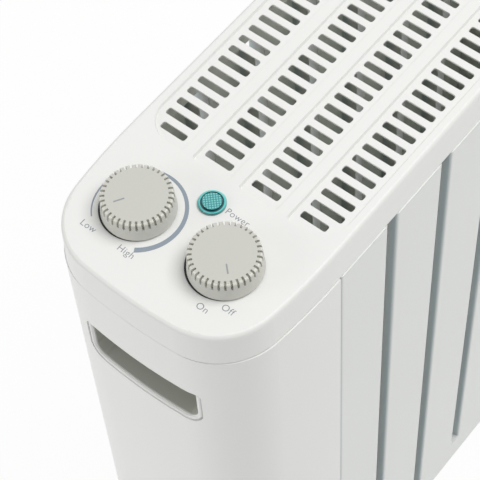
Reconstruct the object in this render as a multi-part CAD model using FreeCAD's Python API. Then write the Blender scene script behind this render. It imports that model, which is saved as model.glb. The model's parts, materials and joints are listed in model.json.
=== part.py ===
import FreeCAD, Part
import math
import os

# Oil-free radiator. Millimetres, +Z up, X along the body with the control end at -X,
# origin on the floor under the middle of the body.

# Driving dimensions: the body
BODY_BOTTOM = 84.0        # underside of the casing above the floor
TOP_Z = 628.0             # flat control panel on the top cover
SKIRT_HEIGHT = 27.0       # depth of the top cover's side wall
HALF_WIDTH = 80.0         # casing centre plane to the face of a side panel
END_LENGTH = 98.35        # seam to the middle of a bowed end, at the top
END_SIDE_R = 440.0        # plan radius that eases a long side in past the seam
END_CORNER_R = 46.0       # plan radius of the corner proper
END_BOW_R = 380.0         # plan radius of the bowed end
END_EASE_START = 3.3      # seam to the start of the eased side
END_LEAN = 4.2            # how much further out an end stands at its foot
TOP_EDGE_R = 3.0          # rounded upper edge of the top cover
SKIRT_DRAFT = 1.2         # how far the top cover's side wall leans in over its height
PLASTIC = 2.6             # moulded wall
STEEL = 0.8               # side panel sheet
PLATE = 1.0               # partition sheet
TRAY_SHEET = 1.2
LEDGE_WIDTH = 14.0        # inward flanges on panels and end covers
HEM = 1.6                 # folded hem along the casing's lower edge
SEAM_GAP = 0.5            # shadow gap between the top cover and an end cover
SIDE_SEAM_GAP = 0.8       # gap between an end cover and a side panel
PANEL_SEAM_GAP = 0.1      # gap between the top cover and a side panel
CAP_INSET = 1.0           # top cover stands this far inside the long sides
CAP_PROUD = 0.1           # and this far outside the end covers
FIT = 0.3                 # clearance of a loose fit

# Driving dimensions: the side panels
SLAT_COUNT = 7
SLAT_WIDTH = 46.1
SLAT_GAP = 9.3
SLAT_EDGE_R = 2.0         # rolled edge, outside
GAP_BOTTOM = 114.0        # lower end of the open gaps
RAIL_HEIGHT = 13.0        # panel rail behind the top cover's skirt

# Driving dimensions: the grille
SLOT_PITCH = 10.0
SLOT_WIDTH = 5.0
SLOT_CORNER_R = 1.6
INNER_ROW_Y = 17.7
INNER_SLOT_LENGTH = 20.0
INNER_TROUGH_WIDTH = 28.0
OUTER_ROW_Y = 55.2
OUTER_SLOT_LENGTH = 23.0
OUTER_TROUGH_WIDTH = 32.0
SHORT_SLOT_CUT = 4.0      # how much the outer rows' end slots lose
TROUGH_DEPTH = 2.0
GRILLE_WALL = 1.4         # plate between a trough's floor and the underside
TROUGH_DRAFT = 0.8        # how far a trough wall leans over its depth
TROUGH_CORNER_R = 20.0
TROUGH_SMALL_R = 2.0
SLOT_END_MARGIN = 9.0     # trough end to the middle of its first slot

# Driving dimensions: the controls
CONTROL_FROM_SEAM = 46.7  # seam to the line of the two knobs
KNOB_FROM_SIDE = 47.3     # side of the casing to a knob's centre
KNOB_BASE_R = 22.7
KNOB_TOP_R = 21.5
KNOB_HEIGHT = 14.4
KNOB_GAP = 1.2            # shadow gap under a knob
KNOB_EDGE_R = 1.5
KNOB_WALL = 2.4
KNOB_FACE = 3.0
KNOB_HUB_R = 6.5
GROOVE_COUNT = 36
GROOVE_WIDTH = 1.3
GROOVE_DEPTH = 2.0
GROOVE_START = 8.8        # smooth band below the grooves
GROOVE_INNER_R = 18.6     # flat disc inside the grooves
SPINDLE_R = 3.0
SPINDLE_FLAT = 1.5        # depth of the D flat
SPINDLE_RUNNING = 0.05
SPINDLE_ENGAGE = 10.0     # length held in the knob
SPINDLE_IN_BODY = 12.0
CONTROL_BODY_SIZE = 36.0
CONTROL_BODY_R = 3.0
CONTROL_BODY_HEIGHT = 22.0
CONTROL_SCREW_REACH = 11.0
SMALL_SCREW_R = 1.6
SMALL_HEAD_R = 3.0
SMALL_HEAD_HEIGHT = 2.0
SMALL_SCREW_DEPTH = 6.0
LAMP_FROM_SEAM = 17.9
LAMP_Y = 1.0
LENS_FLANGE_R = 8.6
LENS_HEIGHT = 2.2
LENS_EDGE = 0.88          # slope round the flange's upper edge
LENS_GROOVE_OUTER_R = 7.0
LENS_GROOVE_INNER_R = 5.5
LENS_GROOVE_DEPTH = 0.8
LENS_CROWN = 0.4
LENS_STEM_R = 5.8
LENS_STEM_LENGTH = 8.0
LAMP_BODY_R = 6.4
LAMP_BODY_LENGTH = 16.0
LAMP_RING_R = 9.0
LAMP_RING_HEIGHT = 1.2

# Driving dimensions: the finger recess in each end
RECESS_FROM_SIDE = 35.4   # side of the casing to the recess
RECESS_Y = -2.5           # middle of the recess, a little to the front
RECESS_FROM_TOP = 70.7    # control panel to the recess's upper edge
RECESS_HEIGHT = 38.5
RECESS_TOP_R = 4.0
RECESS_BOTTOM_R = 13.0
RECESS_STEP = 1.6         # depth of the stepped rim
RECESS_LIP = 4.2          # width of the stepped rim at the sides and below
RECESS_TOP_LIP = 1.0
RECESS_GROOVE = 0.7       # shadow groove round the stepped rim
RECESS_GROOVE_DEPTH = 0.5
RECESS_LAND = 0.1         # narrow land outside that groove
CUP_DEPTH = 40.0
CUP_WALL = 2.0
CUP_HOOK = 9.0            # room above the opening for the fingertips
CUP_FLANGE = 6.0

# Driving dimensions: the inside
ELEMENT_Z = 170.0
ELEMENT_Y = 32.0
ELEMENT_REACH = 27.0      # fin tip from the element's axis
ELEMENT_FIN = 2.4
ELEMENT_CORE_R = 9.0
INSULATOR_FLANGE_R = 11.0
INSULATOR_FLANGE = 4.0
INSULATOR_R = 8.0
INSULATOR_NECK = 9.0
TERMINAL_R = 2.0
TERMINAL_LENGTH = 8.0     # pin past the insulator
LINK_HEIGHT = 12.0
LINK_SHEET = 1.5
PARTITION_CLEAR = 5.0     # partition top below the seam
PARTITION_TAB = 15.0
CUTOUT_R = 9.0
CUTOUT_LENGTH = 11.0
CUTOUT_Z = 250.0
TIP_SWITCH = (22.0, 34.0, 26.0)
TIP_SWITCH_Y = 0.0
TIP_SWITCH_Z = 120.0
BLOCK = (28.0, 40.0, 16.0)
BLOCK_X_FROM_SEAM = 52.0
BLOCK_SCREW_SHARE = 0.25  # screw row, as a share of the block's depth
BLOCK_WIRE_SHARE = 0.75   # wire row, likewise
INLET_COUNT = 9
INLET_PITCH = 38.0
INLET_LENGTH = 58.0
INLET_WIDTH = 16.0
INLET_R = 4.0
INLET_Y = 34.0
WIRE_R = 1.3
WIRE_BEND_R = 8.0

# Driving dimensions: fasteners and the gland
SCREW_R = 2.0
SCREW_HEAD_R = 4.0
SCREW_HEAD = 2.5
SCREW_DEPTH = 14.0
BOSS_R = 4.6
BOSS_LENGTH = 28.0
BOSS_INSET = 6.6          # boss axis from the casing's long side
BOSS_LOW_Z = 140.0
BOSS_HIGH_DROP = 41.0     # upper bosses below the top cover's skirt
CAP_BOSS_Y = 38.0
CAP_BOSS_FROM_SEAM = 7.5
GLAND_FROM_SEAM = 17.0
GLAND_Z = 99.0
GLAND_NECK_R = 7.0
GLAND_FLANGE_R = 10.0
GLAND_FLANGE = 3.0
GLAND_BORE_R = 3.8
GLAND_SEAT = 12.0         # half width of the flat seat round the gland

# Driving dimensions: the feet
FOOT_LENGTH = 248.0
FOOT_WIDTH = 44.0
FOOT_FROM_SEAM = 49.0
FOOT_BOTTOM = 60.0
FOOT_ARCH = 8.0
FOOT_ARCH_FROM_TIP = 58.0
FOOT_SLOPE = 36.0         # length of the slope from the flat top to a tip
FOOT_TIP_DROP = 9.0
FOOT_TIP_ROUND = 0.98     # plan radius at a tip, as a share of half the width
FOOT_WALL = 3.0
FOOT_EDGE_R = 2.5
FOOT_SCREW_Y = 40.0
FOOT_SCREW_R = 3.0
FOOT_SCREW_HEAD_R = 5.5
FOOT_SCREW_HEAD = 4.0
FOOT_BOSS_R = 9.0
NUT_ACROSS = 10.0
NUT_HEIGHT = 4.0
CASTOR_FROM_TIP = 23.0    # swivel axis from the foot bar's tip
CASTOR_TRAIL = 15.0
STEM_R = 4.0
STEM_LENGTH = 13.0
STEM_RUNNING = 0.08
SOCKET_R = 10.0
WHEEL_R = 22.0
WHEEL_WIDTH = 17.0
WHEEL_SHOULDER_R = 3.0
WHEEL_DISH = 2.5
WHEEL_RIM = 5.0
WHEEL_HUB_R = 8.0
AXLE_R = 2.5
AXLE_RUNNING = 0.05
FORK_SIDE_GAP = 0.6
FORK_CHEEK = 3.0
FORK_WHEEL_GAP = 2.0
FORK_PLATE_HALF = 13.0
FORK_EYE_R = 8.0
FORK_SLANT_DEG = 15.0     # how far the fork's edges slant round the axle

# Sizes that follow from those above
SLAT_PITCH = SLAT_WIDTH + SLAT_GAP
PANEL_LENGTH = SLAT_COUNT * SLAT_WIDTH + (SLAT_COUNT - 1) * SLAT_GAP
SEAM_X = PANEL_LENGTH / 2
HALF_LENGTH = SEAM_X + END_LENGTH
SKIRT_Z = TOP_Z - SKIRT_HEIGHT
CASING_TOP = SKIRT_Z - SEAM_GAP
PANEL_TOP = SKIRT_Z - PANEL_SEAM_GAP
CAP_HALF_LENGTH = HALF_LENGTH + CAP_PROUD
CAP_HALF_WIDTH = HALF_WIDTH - CAP_INSET
KNOB_SPACING = 2 * (HALF_WIDTH - KNOB_FROM_SIDE)
RECESS_WIDTH = 2 * (HALF_WIDTH - RECESS_FROM_SIDE)
LIP_INSET = PLASTIC + SKIRT_DRAFT + FIT
EASE_X = SEAM_X + END_EASE_START
CUP_START = -HALF_LENGTH - END_LEAN
RECESS_TOP = TOP_Z - RECESS_FROM_TOP
RECESS_BOTTOM = RECESS_TOP - RECESS_HEIGHT
BOSS_HIGH_Z = SKIRT_Z - BOSS_HIGH_DROP
PANEL_UNDERSIDE = TOP_Z - PLASTIC
GRILLE_UNDERSIDE = TOP_Z - TROUGH_DEPTH - GRILLE_WALL
CONTROL_X = -SEAM_X - CONTROL_FROM_SEAM
LAMP_X = -SEAM_X - LAMP_FROM_SEAM
KNOB_Z = TOP_Z + KNOB_GAP
PARTITION_OUT = SEAM_X - STEEL
PARTITION_IN = PARTITION_OUT - PLATE
PARTITION_TOP = CASING_TOP - PARTITION_CLEAR
TRAY_Z = BODY_BOTTOM + HEM
TRAY_TOP = TRAY_Z + TRAY_SHEET
ELEMENT_END = PARTITION_IN - INSULATOR_FLANGE
TERMINAL_TIP = PARTITION_OUT + INSULATOR_NECK + TERMINAL_LENGTH
FOOT_X = SEAM_X + FOOT_FROM_SEAM
FOOT_ARCH_HALF = FOOT_LENGTH / 2 - FOOT_ARCH_FROM_TIP
FOOT_SHOULDER = FOOT_LENGTH / 2 - FOOT_SLOPE
CASTOR_Y = FOOT_LENGTH / 2 - CASTOR_FROM_TIP
CAP_BOSS_X = SEAM_X + CAP_BOSS_FROM_SEAM
BOSS_Y = HALF_WIDTH - BOSS_INSET
GLAND_X = -SEAM_X - GLAND_FROM_SEAM
FORK_TOP = FOOT_BOTTOM - FIT

Z_AXIS = FreeCAD.Vector(0, 0, 1)
ORIGIN = FreeCAD.Vector(0, 0, 0)


def vec(x, y, z):
    return FreeCAD.Vector(x, y, z)


def box(low, high):
    """A block between two corners."""
    return Part.makeBox(high[0] - low[0], high[1] - low[1], high[2] - low[2], vec(*low))


def rod(start, end, radius):
    """A round bar from one point to another."""
    run = vec(*end) - vec(*start)
    return Part.makeCylinder(radius, run.Length, vec(*start), run)


def cut_all(solid, tools):
    return solid.cut(Part.makeCompound(tools))


def join(solids):
    """One solid from touching or crossing solids, with coplanar faces merged."""
    return solids[0].fuse(solids[1:]).removeSplitter()


def turned(shape):
    """A copy turned half round the vertical axis, for the far end or the back."""
    copy = shape.copy()
    copy.rotate(ORIGIN, Z_AXIS, 180)
    return copy


def arc(start, middle, end):
    return Part.Arc(vec(*start), vec(*middle), vec(*end)).toShape()


def line(start, end):
    return Part.makeLine(vec(*start), vec(*end))


def revolve(points, x, y, z):
    """A closed profile of (radius, height) points turned about a vertical axis."""
    wire = Part.makePolygon([vec(r, 0, h) for r, h in points + points[:1]])
    solid = Part.Face(wire).revolve(ORIGIN, Z_AXIS, 360)
    solid.translate(vec(x, y, z))
    return solid


def corner_arc(centre, radius, from_deg, to_deg, place):
    """A round corner in a flat outline: place turns flat coordinates into a point."""
    points = []
    for turn in (from_deg, (from_deg + to_deg) / 2, to_deg):
        angle = math.radians(turn)
        flat = (centre[0] + radius * math.cos(angle), centre[1] + radius * math.sin(angle))
        points.append(place(*flat))
    return arc(*points)


def rounded_wire(low, high, radii, place):
    """A rectangle with its own radius at each corner, from the lower left, anticlockwise."""
    corners = ((low[0], low[1], 1, 1, 180), (high[0], low[1], -1, 1, 270),
               (high[0], high[1], -1, -1, 0), (low[0], high[1], 1, -1, 90))
    edges = []
    joints = []
    for (u, v, side_u, side_v, start), radius in zip(corners, radii):
        centre = (u + side_u * radius, v + side_v * radius)
        bend = corner_arc(centre, radius, start, start + 90, place)
        joints.append(bend)
    for index, bend in enumerate(joints):
        following = joints[(index + 1) % len(joints)]
        edges.append(bend)
        gap = following.Vertexes[0].Point - bend.Vertexes[-1].Point
        if gap.Length > 1e-6:
            edges.append(Part.makeLine(bend.Vertexes[-1].Point, following.Vertexes[0].Point))
    return Part.Wire(edges)


def flat_xy(z):
    return lambda u, v: (u, v, z)


def flat_yz(x):
    return lambda u, v: (x, u, v)


def prism(wire, run):
    return Part.Face(wire).extrude(run)


def corner_centre(half_length, half_width):
    """Centre of the corner arc that touches both the bowed end and the eased side."""
    bow_x = half_length - END_BOW_R
    span = vec(EASE_X - bow_x, half_width - END_SIDE_R, 0)
    from_bow = END_BOW_R - END_CORNER_R
    from_side = END_SIDE_R - END_CORNER_R
    along = (from_bow ** 2 - from_side ** 2 + span.Length ** 2) / (2 * span.Length)
    across = math.sqrt(from_bow ** 2 - along ** 2)
    unit = vec(span.x, span.y, 0).normalize()
    return bow_x + along * unit.x - across * unit.y, along * unit.y + across * unit.x


def body_wire(half_length, half_width, inset, z, shift):
    """Plan outline drawn in by inset: straight sides, eased corners and bowed ends."""
    bow = (half_length - END_BOW_R, 0)
    side = (EASE_X, half_width - END_SIDE_R)
    corner = corner_centre(half_length, half_width)
    bow_r = END_BOW_R - inset
    side_r = END_SIDE_R - inset
    corner_r = END_CORNER_R - inset
    low = math.degrees(math.atan2(corner[1] - bow[1], corner[0] - bow[0]))
    high = math.degrees(math.atan2(corner[1] - side[1], corner[0] - side[0]))
    face = half_width - inset

    def place(x_sign, y_sign):
        return lambda u, v: (x_sign * u + shift, y_sign * v, z)

    def out_to_end(x_sign, y_sign):
        at = place(x_sign, y_sign)
        return [corner_arc(side, side_r, 90, high, at), corner_arc(corner, corner_r, high, low, at)]

    def back_to_side(x_sign, y_sign):
        at = place(x_sign, y_sign)
        return [corner_arc(corner, corner_r, low, high, at), corner_arc(side, side_r, high, 90, at)]

    edges = [line((-EASE_X + shift, -face, z), (EASE_X + shift, -face, z))]
    edges += out_to_end(1, -1)
    edges.append(corner_arc(bow, bow_r, -low, low, place(1, 1)))
    edges += back_to_side(1, 1)
    edges.append(line((EASE_X + shift, face, z), (-EASE_X + shift, face, z)))
    edges += out_to_end(-1, 1)
    edges.append(corner_arc(bow, bow_r, low, -low, place(-1, 1)))
    edges += back_to_side(-1, -1)
    return Part.Wire(edges)


def casing_block(inset, low, high):
    """The casing's plan at its top, drawn in by inset, between two heights."""
    return prism(body_wire(HALF_LENGTH, HALF_WIDTH, inset, low, 0), vec(0, 0, high - low))


def lean_at(z):
    """How far the leaning control end has moved outwards at a height."""
    return -END_LEAN * (CASING_TOP - z) / (CASING_TOP - BODY_BOTTOM)


def end_block(inset, low, high):
    """The casing's plan swept along the leaning control end between two heights."""
    wire = body_wire(HALF_LENGTH, HALF_WIDTH, inset, low, lean_at(low))
    return prism(wire, vec(lean_at(high) - lean_at(low), 0, high - low))


def cap_block(inset, low, high):
    """The top cover's plan at its foot, drawn in by inset, between two heights."""
    wire = body_wire(CAP_HALF_LENGTH, CAP_HALF_WIDTH, inset, low, 0)
    return prism(wire, vec(0, 0, high - low))


def cap_taper(inset, low, high):
    """The top cover's plan with its leaning side wall, drawn in by inset."""
    wires = []
    for z in (low, high):
        lean = SKIRT_DRAFT * (z - SKIRT_Z) / SKIRT_HEIGHT
        wires.append(body_wire(CAP_HALF_LENGTH, CAP_HALF_WIDTH, inset + lean, z, 0))
    return Part.makeLoft(wires, True, True)


def end_zone(low, high):
    """Everything past the seam at the control end, between two heights."""
    reach = HALF_LENGTH + CUP_DEPTH
    return box((-reach, -HALF_WIDTH * 2, low), (-SEAM_X - SIDE_SEAM_GAP, HALF_WIDTH * 2, high))


# Top cover

def slot_places():
    """Middle, half length and side of every grille slot."""
    count = int((PANEL_LENGTH - 2 * SLOT_END_MARGIN) // SLOT_PITCH) + 1
    first = -(count - 1) * SLOT_PITCH / 2
    for index in range(count):
        x = first + index * SLOT_PITCH
        at_end = index in (0, count - 1)
        for side in (-1, 1):
            yield x, side * INNER_ROW_Y, INNER_SLOT_LENGTH / 2
            cut = SHORT_SLOT_CUT if at_end else 0
            middle = side * (OUTER_ROW_Y - cut / 2)
            yield x, middle, (OUTER_SLOT_LENGTH - cut) / 2


def grille_slot(x, y, half):
    low = GRILLE_UNDERSIDE - PLASTIC
    wire = rounded_wire((x - SLOT_WIDTH / 2, y - half), (x + SLOT_WIDTH / 2, y + half),
                        [SLOT_CORNER_R] * 4, flat_xy(low))
    return prism(wire, vec(0, 0, TOP_Z - low))


def trough(row_y, width, radii):
    """A sunk row with leaning walls; radii are those at the top edge."""
    overlap = 0.5
    slope = TROUGH_DRAFT / TROUGH_DEPTH
    half = SEAM_X
    sections = []
    for height, inset in ((overlap, -overlap * slope), (-TROUGH_DEPTH, TROUGH_DRAFT)):
        low = (-half + inset, row_y - width / 2 + inset)
        high = (half - inset, row_y + width / 2 - inset)
        wire = rounded_wire(low, high, [r - inset for r in radii], flat_xy(TOP_Z + height))
        sections.append(wire)
    return Part.makeLoft(sections, True, True)


def control_places():
    return ((CONTROL_X, KNOB_SPACING / 2), (CONTROL_X, -KNOB_SPACING / 2))


def control_screw_places():
    for x, y in control_places():
        for side in (-1, 1):
            yield x + side * CONTROL_SCREW_REACH, y


def cap_boss_places():
    for x in (-CAP_BOSS_X, CAP_BOSS_X):
        for y in (-CAP_BOSS_Y, CAP_BOSS_Y):
            yield x, y


def make_top_cover():
    """One moulding: rounded top edge, skirt, sunk slotted rows and screw bosses."""
    shell = cap_taper(0, SKIRT_Z, TOP_Z)
    rim = [e for e in shell.Edges if min(v.Z for v in e.Vertexes) > TOP_Z - 0.01]
    shell = shell.makeFillet(TOP_EDGE_R, rim)
    hollow = cap_taper(PLASTIC, SKIRT_Z - 1, PANEL_UNDERSIDE)
    grille_pad = box((-SEAM_X, -HALF_WIDTH, GRILLE_UNDERSIDE), (SEAM_X, HALF_WIDTH, TOP_Z))
    shell = shell.cut(hollow.cut(grille_pad))
    bosses = [rod((x, y, PARTITION_TOP), (x, y, PANEL_UNDERSIDE), BOSS_R)
              for x, y in cap_boss_places()]
    shell = join([shell] + bosses)
    small = TROUGH_SMALL_R
    large = TROUGH_CORNER_R
    tools = [
        trough(-OUTER_ROW_Y, OUTER_TROUGH_WIDTH, [large, large, small, small]),
        trough(-INNER_ROW_Y, INNER_TROUGH_WIDTH, [small] * 4),
        trough(INNER_ROW_Y, INNER_TROUGH_WIDTH, [small] * 4),
        trough(OUTER_ROW_Y, OUTER_TROUGH_WIDTH, [small, small, large, large]),
    ]
    shell = cut_all(shell, tools)
    tools = [grille_slot(*place) for place in slot_places()]
    for x, y in control_places():
        tools.append(rod((x, y, PANEL_UNDERSIDE - 1), (x, y, TOP_Z + 1), SPINDLE_R + FIT))
    for x, y in control_screw_places():
        tools.append(rod((x, y, PANEL_UNDERSIDE - 1), (x, y, TOP_Z + 1), SMALL_SCREW_R))
    lamp_hole = rod((LAMP_X, LAMP_Y, PANEL_UNDERSIDE - 1), (LAMP_X, LAMP_Y, TOP_Z + 1), LENS_STEM_R)
    tools.append(lamp_hole)
    for x, y in cap_boss_places():
        tools.append(rod((x, y, PARTITION_TOP - 1), (x, y, PARTITION_TOP + SCREW_DEPTH), SCREW_R))
    return cut_all(shell, tools)


# Side panels

def channel_wire(low_x, high_x, z):
    """Plan section of a sheet with both edges rolled back into flanges."""
    face = -HALF_WIDTH
    back = face + LEDGE_WIDTH
    bend = SLAT_EDGE_R
    inner = SLAT_EDGE_R - STEEL
    place = flat_xy(z)
    left_in = low_x + STEEL
    right_in = high_x - STEEL
    edges = [
        line((low_x, back, z), (low_x, face + bend, z)),
        corner_arc((low_x + bend, face + bend), bend, 180, 270, place),
        line((low_x + bend, face, z), (high_x - bend, face, z)),
        corner_arc((high_x - bend, face + bend), bend, 270, 360, place),
        line((high_x, face + bend, z), (high_x, back, z)),
        line((high_x, back, z), (right_in, back, z)),
        line((right_in, back, z), (right_in, face + bend, z)),
        corner_arc((high_x - bend, face + bend), inner, 360, 270, place),
        line((high_x - bend, face + STEEL, z), (low_x + bend, face + STEEL, z)),
        corner_arc((low_x + bend, face + bend), inner, 270, 180, place),
        line((left_in, face + bend, z), (left_in, back, z)),
        line((left_in, back, z), (low_x, back, z)),
    ]
    return Part.Wire(edges)


def rail_faces():
    """Front and back planes of the rail that stands inside the top cover's skirt."""
    outer = -(CAP_HALF_WIDTH - LIP_INSET)
    return outer, outer + STEEL


def make_front_panel():
    """Steel side: slats with rolled edges over a plain foot, a hem and a top rail."""
    face = -HALF_WIDTH
    back = face + LEDGE_WIDTH
    pieces = [prism(channel_wire(-SEAM_X, SEAM_X, BODY_BOTTOM), vec(0, 0, GAP_BOTTOM - BODY_BOTTOM))]
    rail_out, rail_in = rail_faces()
    for index in range(SLAT_COUNT):
        low_x = -SEAM_X + index * SLAT_PITCH
        high_x = low_x + SLAT_WIDTH
        slat = prism(channel_wire(low_x, high_x, GAP_BOTTOM), vec(0, 0, PANEL_TOP - GAP_BOTTOM))
        pieces.append(slat)
        cap = box((low_x + SLAT_EDGE_R, face, PANEL_TOP - STEEL),
                  (high_x - SLAT_EDGE_R, rail_in, PANEL_TOP))
        pieces.append(cap)
        if index:
            sill = box((low_x - SLAT_GAP - STEEL, face + STEEL, GAP_BOTTOM - STEEL),
                       (low_x + STEEL, back, GAP_BOTTOM))
            pieces.append(sill)
    rail = box((-SEAM_X + STEEL, rail_out, PANEL_TOP - STEEL),
               (SEAM_X - STEEL, rail_in, PANEL_TOP + RAIL_HEIGHT))
    hem = box((-SEAM_X + STEEL, face + STEEL, BODY_BOTTOM), (SEAM_X - STEEL, back, BODY_BOTTOM + HEM))
    panel = join(pieces + [rail, hem])
    holes = [rod((-SEAM_X - 1, -BOSS_Y, z), (SEAM_X + 1, -BOSS_Y, z), SCREW_R)
             for z in (BOSS_LOW_Z, BOSS_HIGH_Z)]
    ends = [box((-SEAM_X - 1, face, BODY_BOTTOM), (-PARTITION_OUT, back, TOP_Z)),
            box((PARTITION_OUT, face, BODY_BOTTOM), (SEAM_X + 1, back, TOP_Z))]
    tools = [hole.common(end) for hole in holes for end in ends]
    return cut_all(panel, tools)


# End covers and finger cups

def recess_cutter(lip, top_lip, depth):
    """The finger recess run in from outside the bowed end: large lower corners, small upper ones."""
    half = RECESS_WIDTH / 2 - lip
    large = RECESS_BOTTOM_R - lip
    small = RECESS_TOP_R - top_lip
    wire = rounded_wire((RECESS_Y - half, RECESS_BOTTOM + lip), (RECESS_Y + half, RECESS_TOP - top_lip),
                        [large, large, small, small], flat_yz(CUP_START))
    return prism(wire, vec(depth, 0, 0))


def boss_places():
    for y in (-BOSS_Y, BOSS_Y):
        for z in (BOSS_LOW_Z, BOSS_HIGH_Z):
            yield y, z


def make_end_cover(with_gland):
    """Moulded end: bowed wall, lower ledge, upper lip, stepped recess and screw bosses."""
    wall = end_block(0, BODY_BOTTOM, CASING_TOP).cut(
        end_block(PLASTIC, BODY_BOTTOM - 1, CASING_TOP + 1))
    ledge = end_block(0, BODY_BOTTOM, TRAY_Z).cut(
        end_block(LEDGE_WIDTH, BODY_BOTTOM - 1, TRAY_Z + 1))
    lip_low = CASING_TOP - 2 * PLASTIC
    lip_inner = LIP_INSET + PLASTIC
    band = end_block(0, lip_low, CASING_TOP).cut(
        cap_block(lip_inner, lip_low - 1, CASING_TOP + 1))
    lip = cap_block(LIP_INSET, CASING_TOP - 1, CASING_TOP + RAIL_HEIGHT).cut(
        cap_block(lip_inner, CASING_TOP - 2, CASING_TOP + RAIL_HEIGHT + 1))
    ring = join([wall, ledge, band, lip])
    seam = -SEAM_X - SIDE_SEAM_GAP
    cover = ring.common(end_zone(BODY_BOTTOM - 1, TOP_Z))
    extras = [rod((seam, y, z), (seam - BOSS_LENGTH, y, z), BOSS_R) for y, z in boss_places()]
    inside = HALF_WIDTH - PLASTIC
    seat_low = GLAND_X - GLAND_SEAT
    seat_high = GLAND_X + GLAND_SEAT
    if with_gland:
        extras.append(box((seat_low, inside, BODY_BOTTOM), (seat_high, HALF_WIDTH, GLAND_Z + GLAND_SEAT)))
    cover = join([cover] + extras)
    step = recess_cutter(0, 0, END_LENGTH).cut(end_block(RECESS_STEP, BODY_BOTTOM, TOP_Z))
    deeper = RECESS_STEP + RECESS_GROOVE_DEPTH
    land = RECESS_LAND
    groove = recess_cutter(land, land, END_LENGTH).cut(
        recess_cutter(land + RECESS_GROOVE, land, END_LENGTH))
    groove = groove.cut(end_block(deeper, BODY_BOTTOM, TOP_Z))
    for cutter in (step, groove, recess_cutter(RECESS_LIP, RECESS_TOP_LIP, CUP_DEPTH)):
        cover = cover.cut(cutter)
    tools = []
    for y, z in boss_places():
        tools.append(rod((seam + 1, y, z), (seam - SCREW_DEPTH, y, z), SCREW_R))
    if with_gland:
        room = inside - GLAND_FLANGE
        tools.append(box((seat_low, room, TRAY_Z), (seat_high, inside, GLAND_Z + GLAND_SEAT)))
        tools.append(rod((GLAND_X, room, GLAND_Z), (GLAND_X, HALF_WIDTH + 1, GLAND_Z), GLAND_NECK_R))
        tools.append(box((GLAND_X - GLAND_NECK_R, HALF_WIDTH - LEDGE_WIDTH - 1, BODY_BOTTOM - 1),
                         (GLAND_X + GLAND_NECK_R, HALF_WIDTH + 1, GLAND_Z)))
    return cut_all(cover, tools)


def make_handle_cup():
    """Finger cup behind the recess, with a flange against the inside of the end wall."""
    back = -HALF_LENGTH + CUP_DEPTH
    half = RECESS_WIDTH / 2 - RECESS_LIP
    left = RECESS_Y - half
    right = RECESS_Y + half
    low = RECESS_BOTTOM + RECESS_LIP
    high = RECESS_TOP - RECESS_TOP_LIP + CUP_HOOK
    radius = RECESS_BOTTOM_R - RECESS_LIP
    wall = CUP_WALL
    inside = end_block(PLASTIC, BODY_BOTTOM, TOP_Z)
    outer_wire = rounded_wire((left - wall, low - wall), (right + wall, high + wall),
                              [radius + wall] * 4, flat_yz(CUP_START))
    shell = prism(outer_wire, vec(back + wall - CUP_START, 0, 0)).common(inside)
    inner_wire = rounded_wire((left, low), (right, high), [radius] * 4, flat_yz(CUP_START))
    pocket = prism(inner_wire, vec(back - CUP_START, 0, 0))
    grow = CUP_WALL + CUP_FLANGE
    behind_wall = end_block(PLASTIC + wall, BODY_BOTTOM - 1, TOP_Z + 1)
    flange = box((CUP_START, left - grow, low - grow), (back, right + grow, high + grow)).common(
        inside.cut(behind_wall))
    cup = join([shell, flange])
    mouth = recess_cutter(RECESS_LIP, RECESS_TOP_LIP, CUP_DEPTH / 2)
    return cut_all(cup, [pocket.common(behind_wall), mouth])


# Partitions and tray

def make_partition():
    """Folded plate at the control end's seam: carries sides, top and heating elements."""
    half = HALF_WIDTH - SLAT_EDGE_R - FIT
    web = box((-PARTITION_OUT, -half, TRAY_TOP), (-PARTITION_IN, half, PARTITION_TOP))
    tab_half = HALF_WIDTH - LEDGE_WIDTH - FIT
    tab_x = -PARTITION_OUT - PARTITION_TAB
    top_tab = box((tab_x, -tab_half, PARTITION_TOP - PLATE), (-PARTITION_IN, tab_half, PARTITION_TOP))
    foot_tab = box((tab_x, -tab_half, TRAY_TOP), (-PARTITION_IN, tab_half, TRAY_TOP + PLATE))
    plate = join([web, top_tab, foot_tab])
    tools = []
    for side in (-1, 1):
        y = side * ELEMENT_Y
        tools.append(rod((-SEAM_X, y, ELEMENT_Z), (0, y, ELEMENT_Z), INSULATOR_R))
        tools.append(rod((-CAP_BOSS_X, side * CAP_BOSS_Y, PARTITION_TOP - 2 * PLATE),
                         (-CAP_BOSS_X, side * CAP_BOSS_Y, PARTITION_TOP + 1), SCREW_R))
    for y, z in boss_places():
        tools.append(rod((-SEAM_X, y, z), (0, y, z), SCREW_R))
    return cut_all(plate, tools)


def foot_screw_places():
    for x in (-FOOT_X, FOOT_X):
        for y in (-FOOT_SCREW_Y, FOOT_SCREW_Y):
            yield x, y


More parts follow.
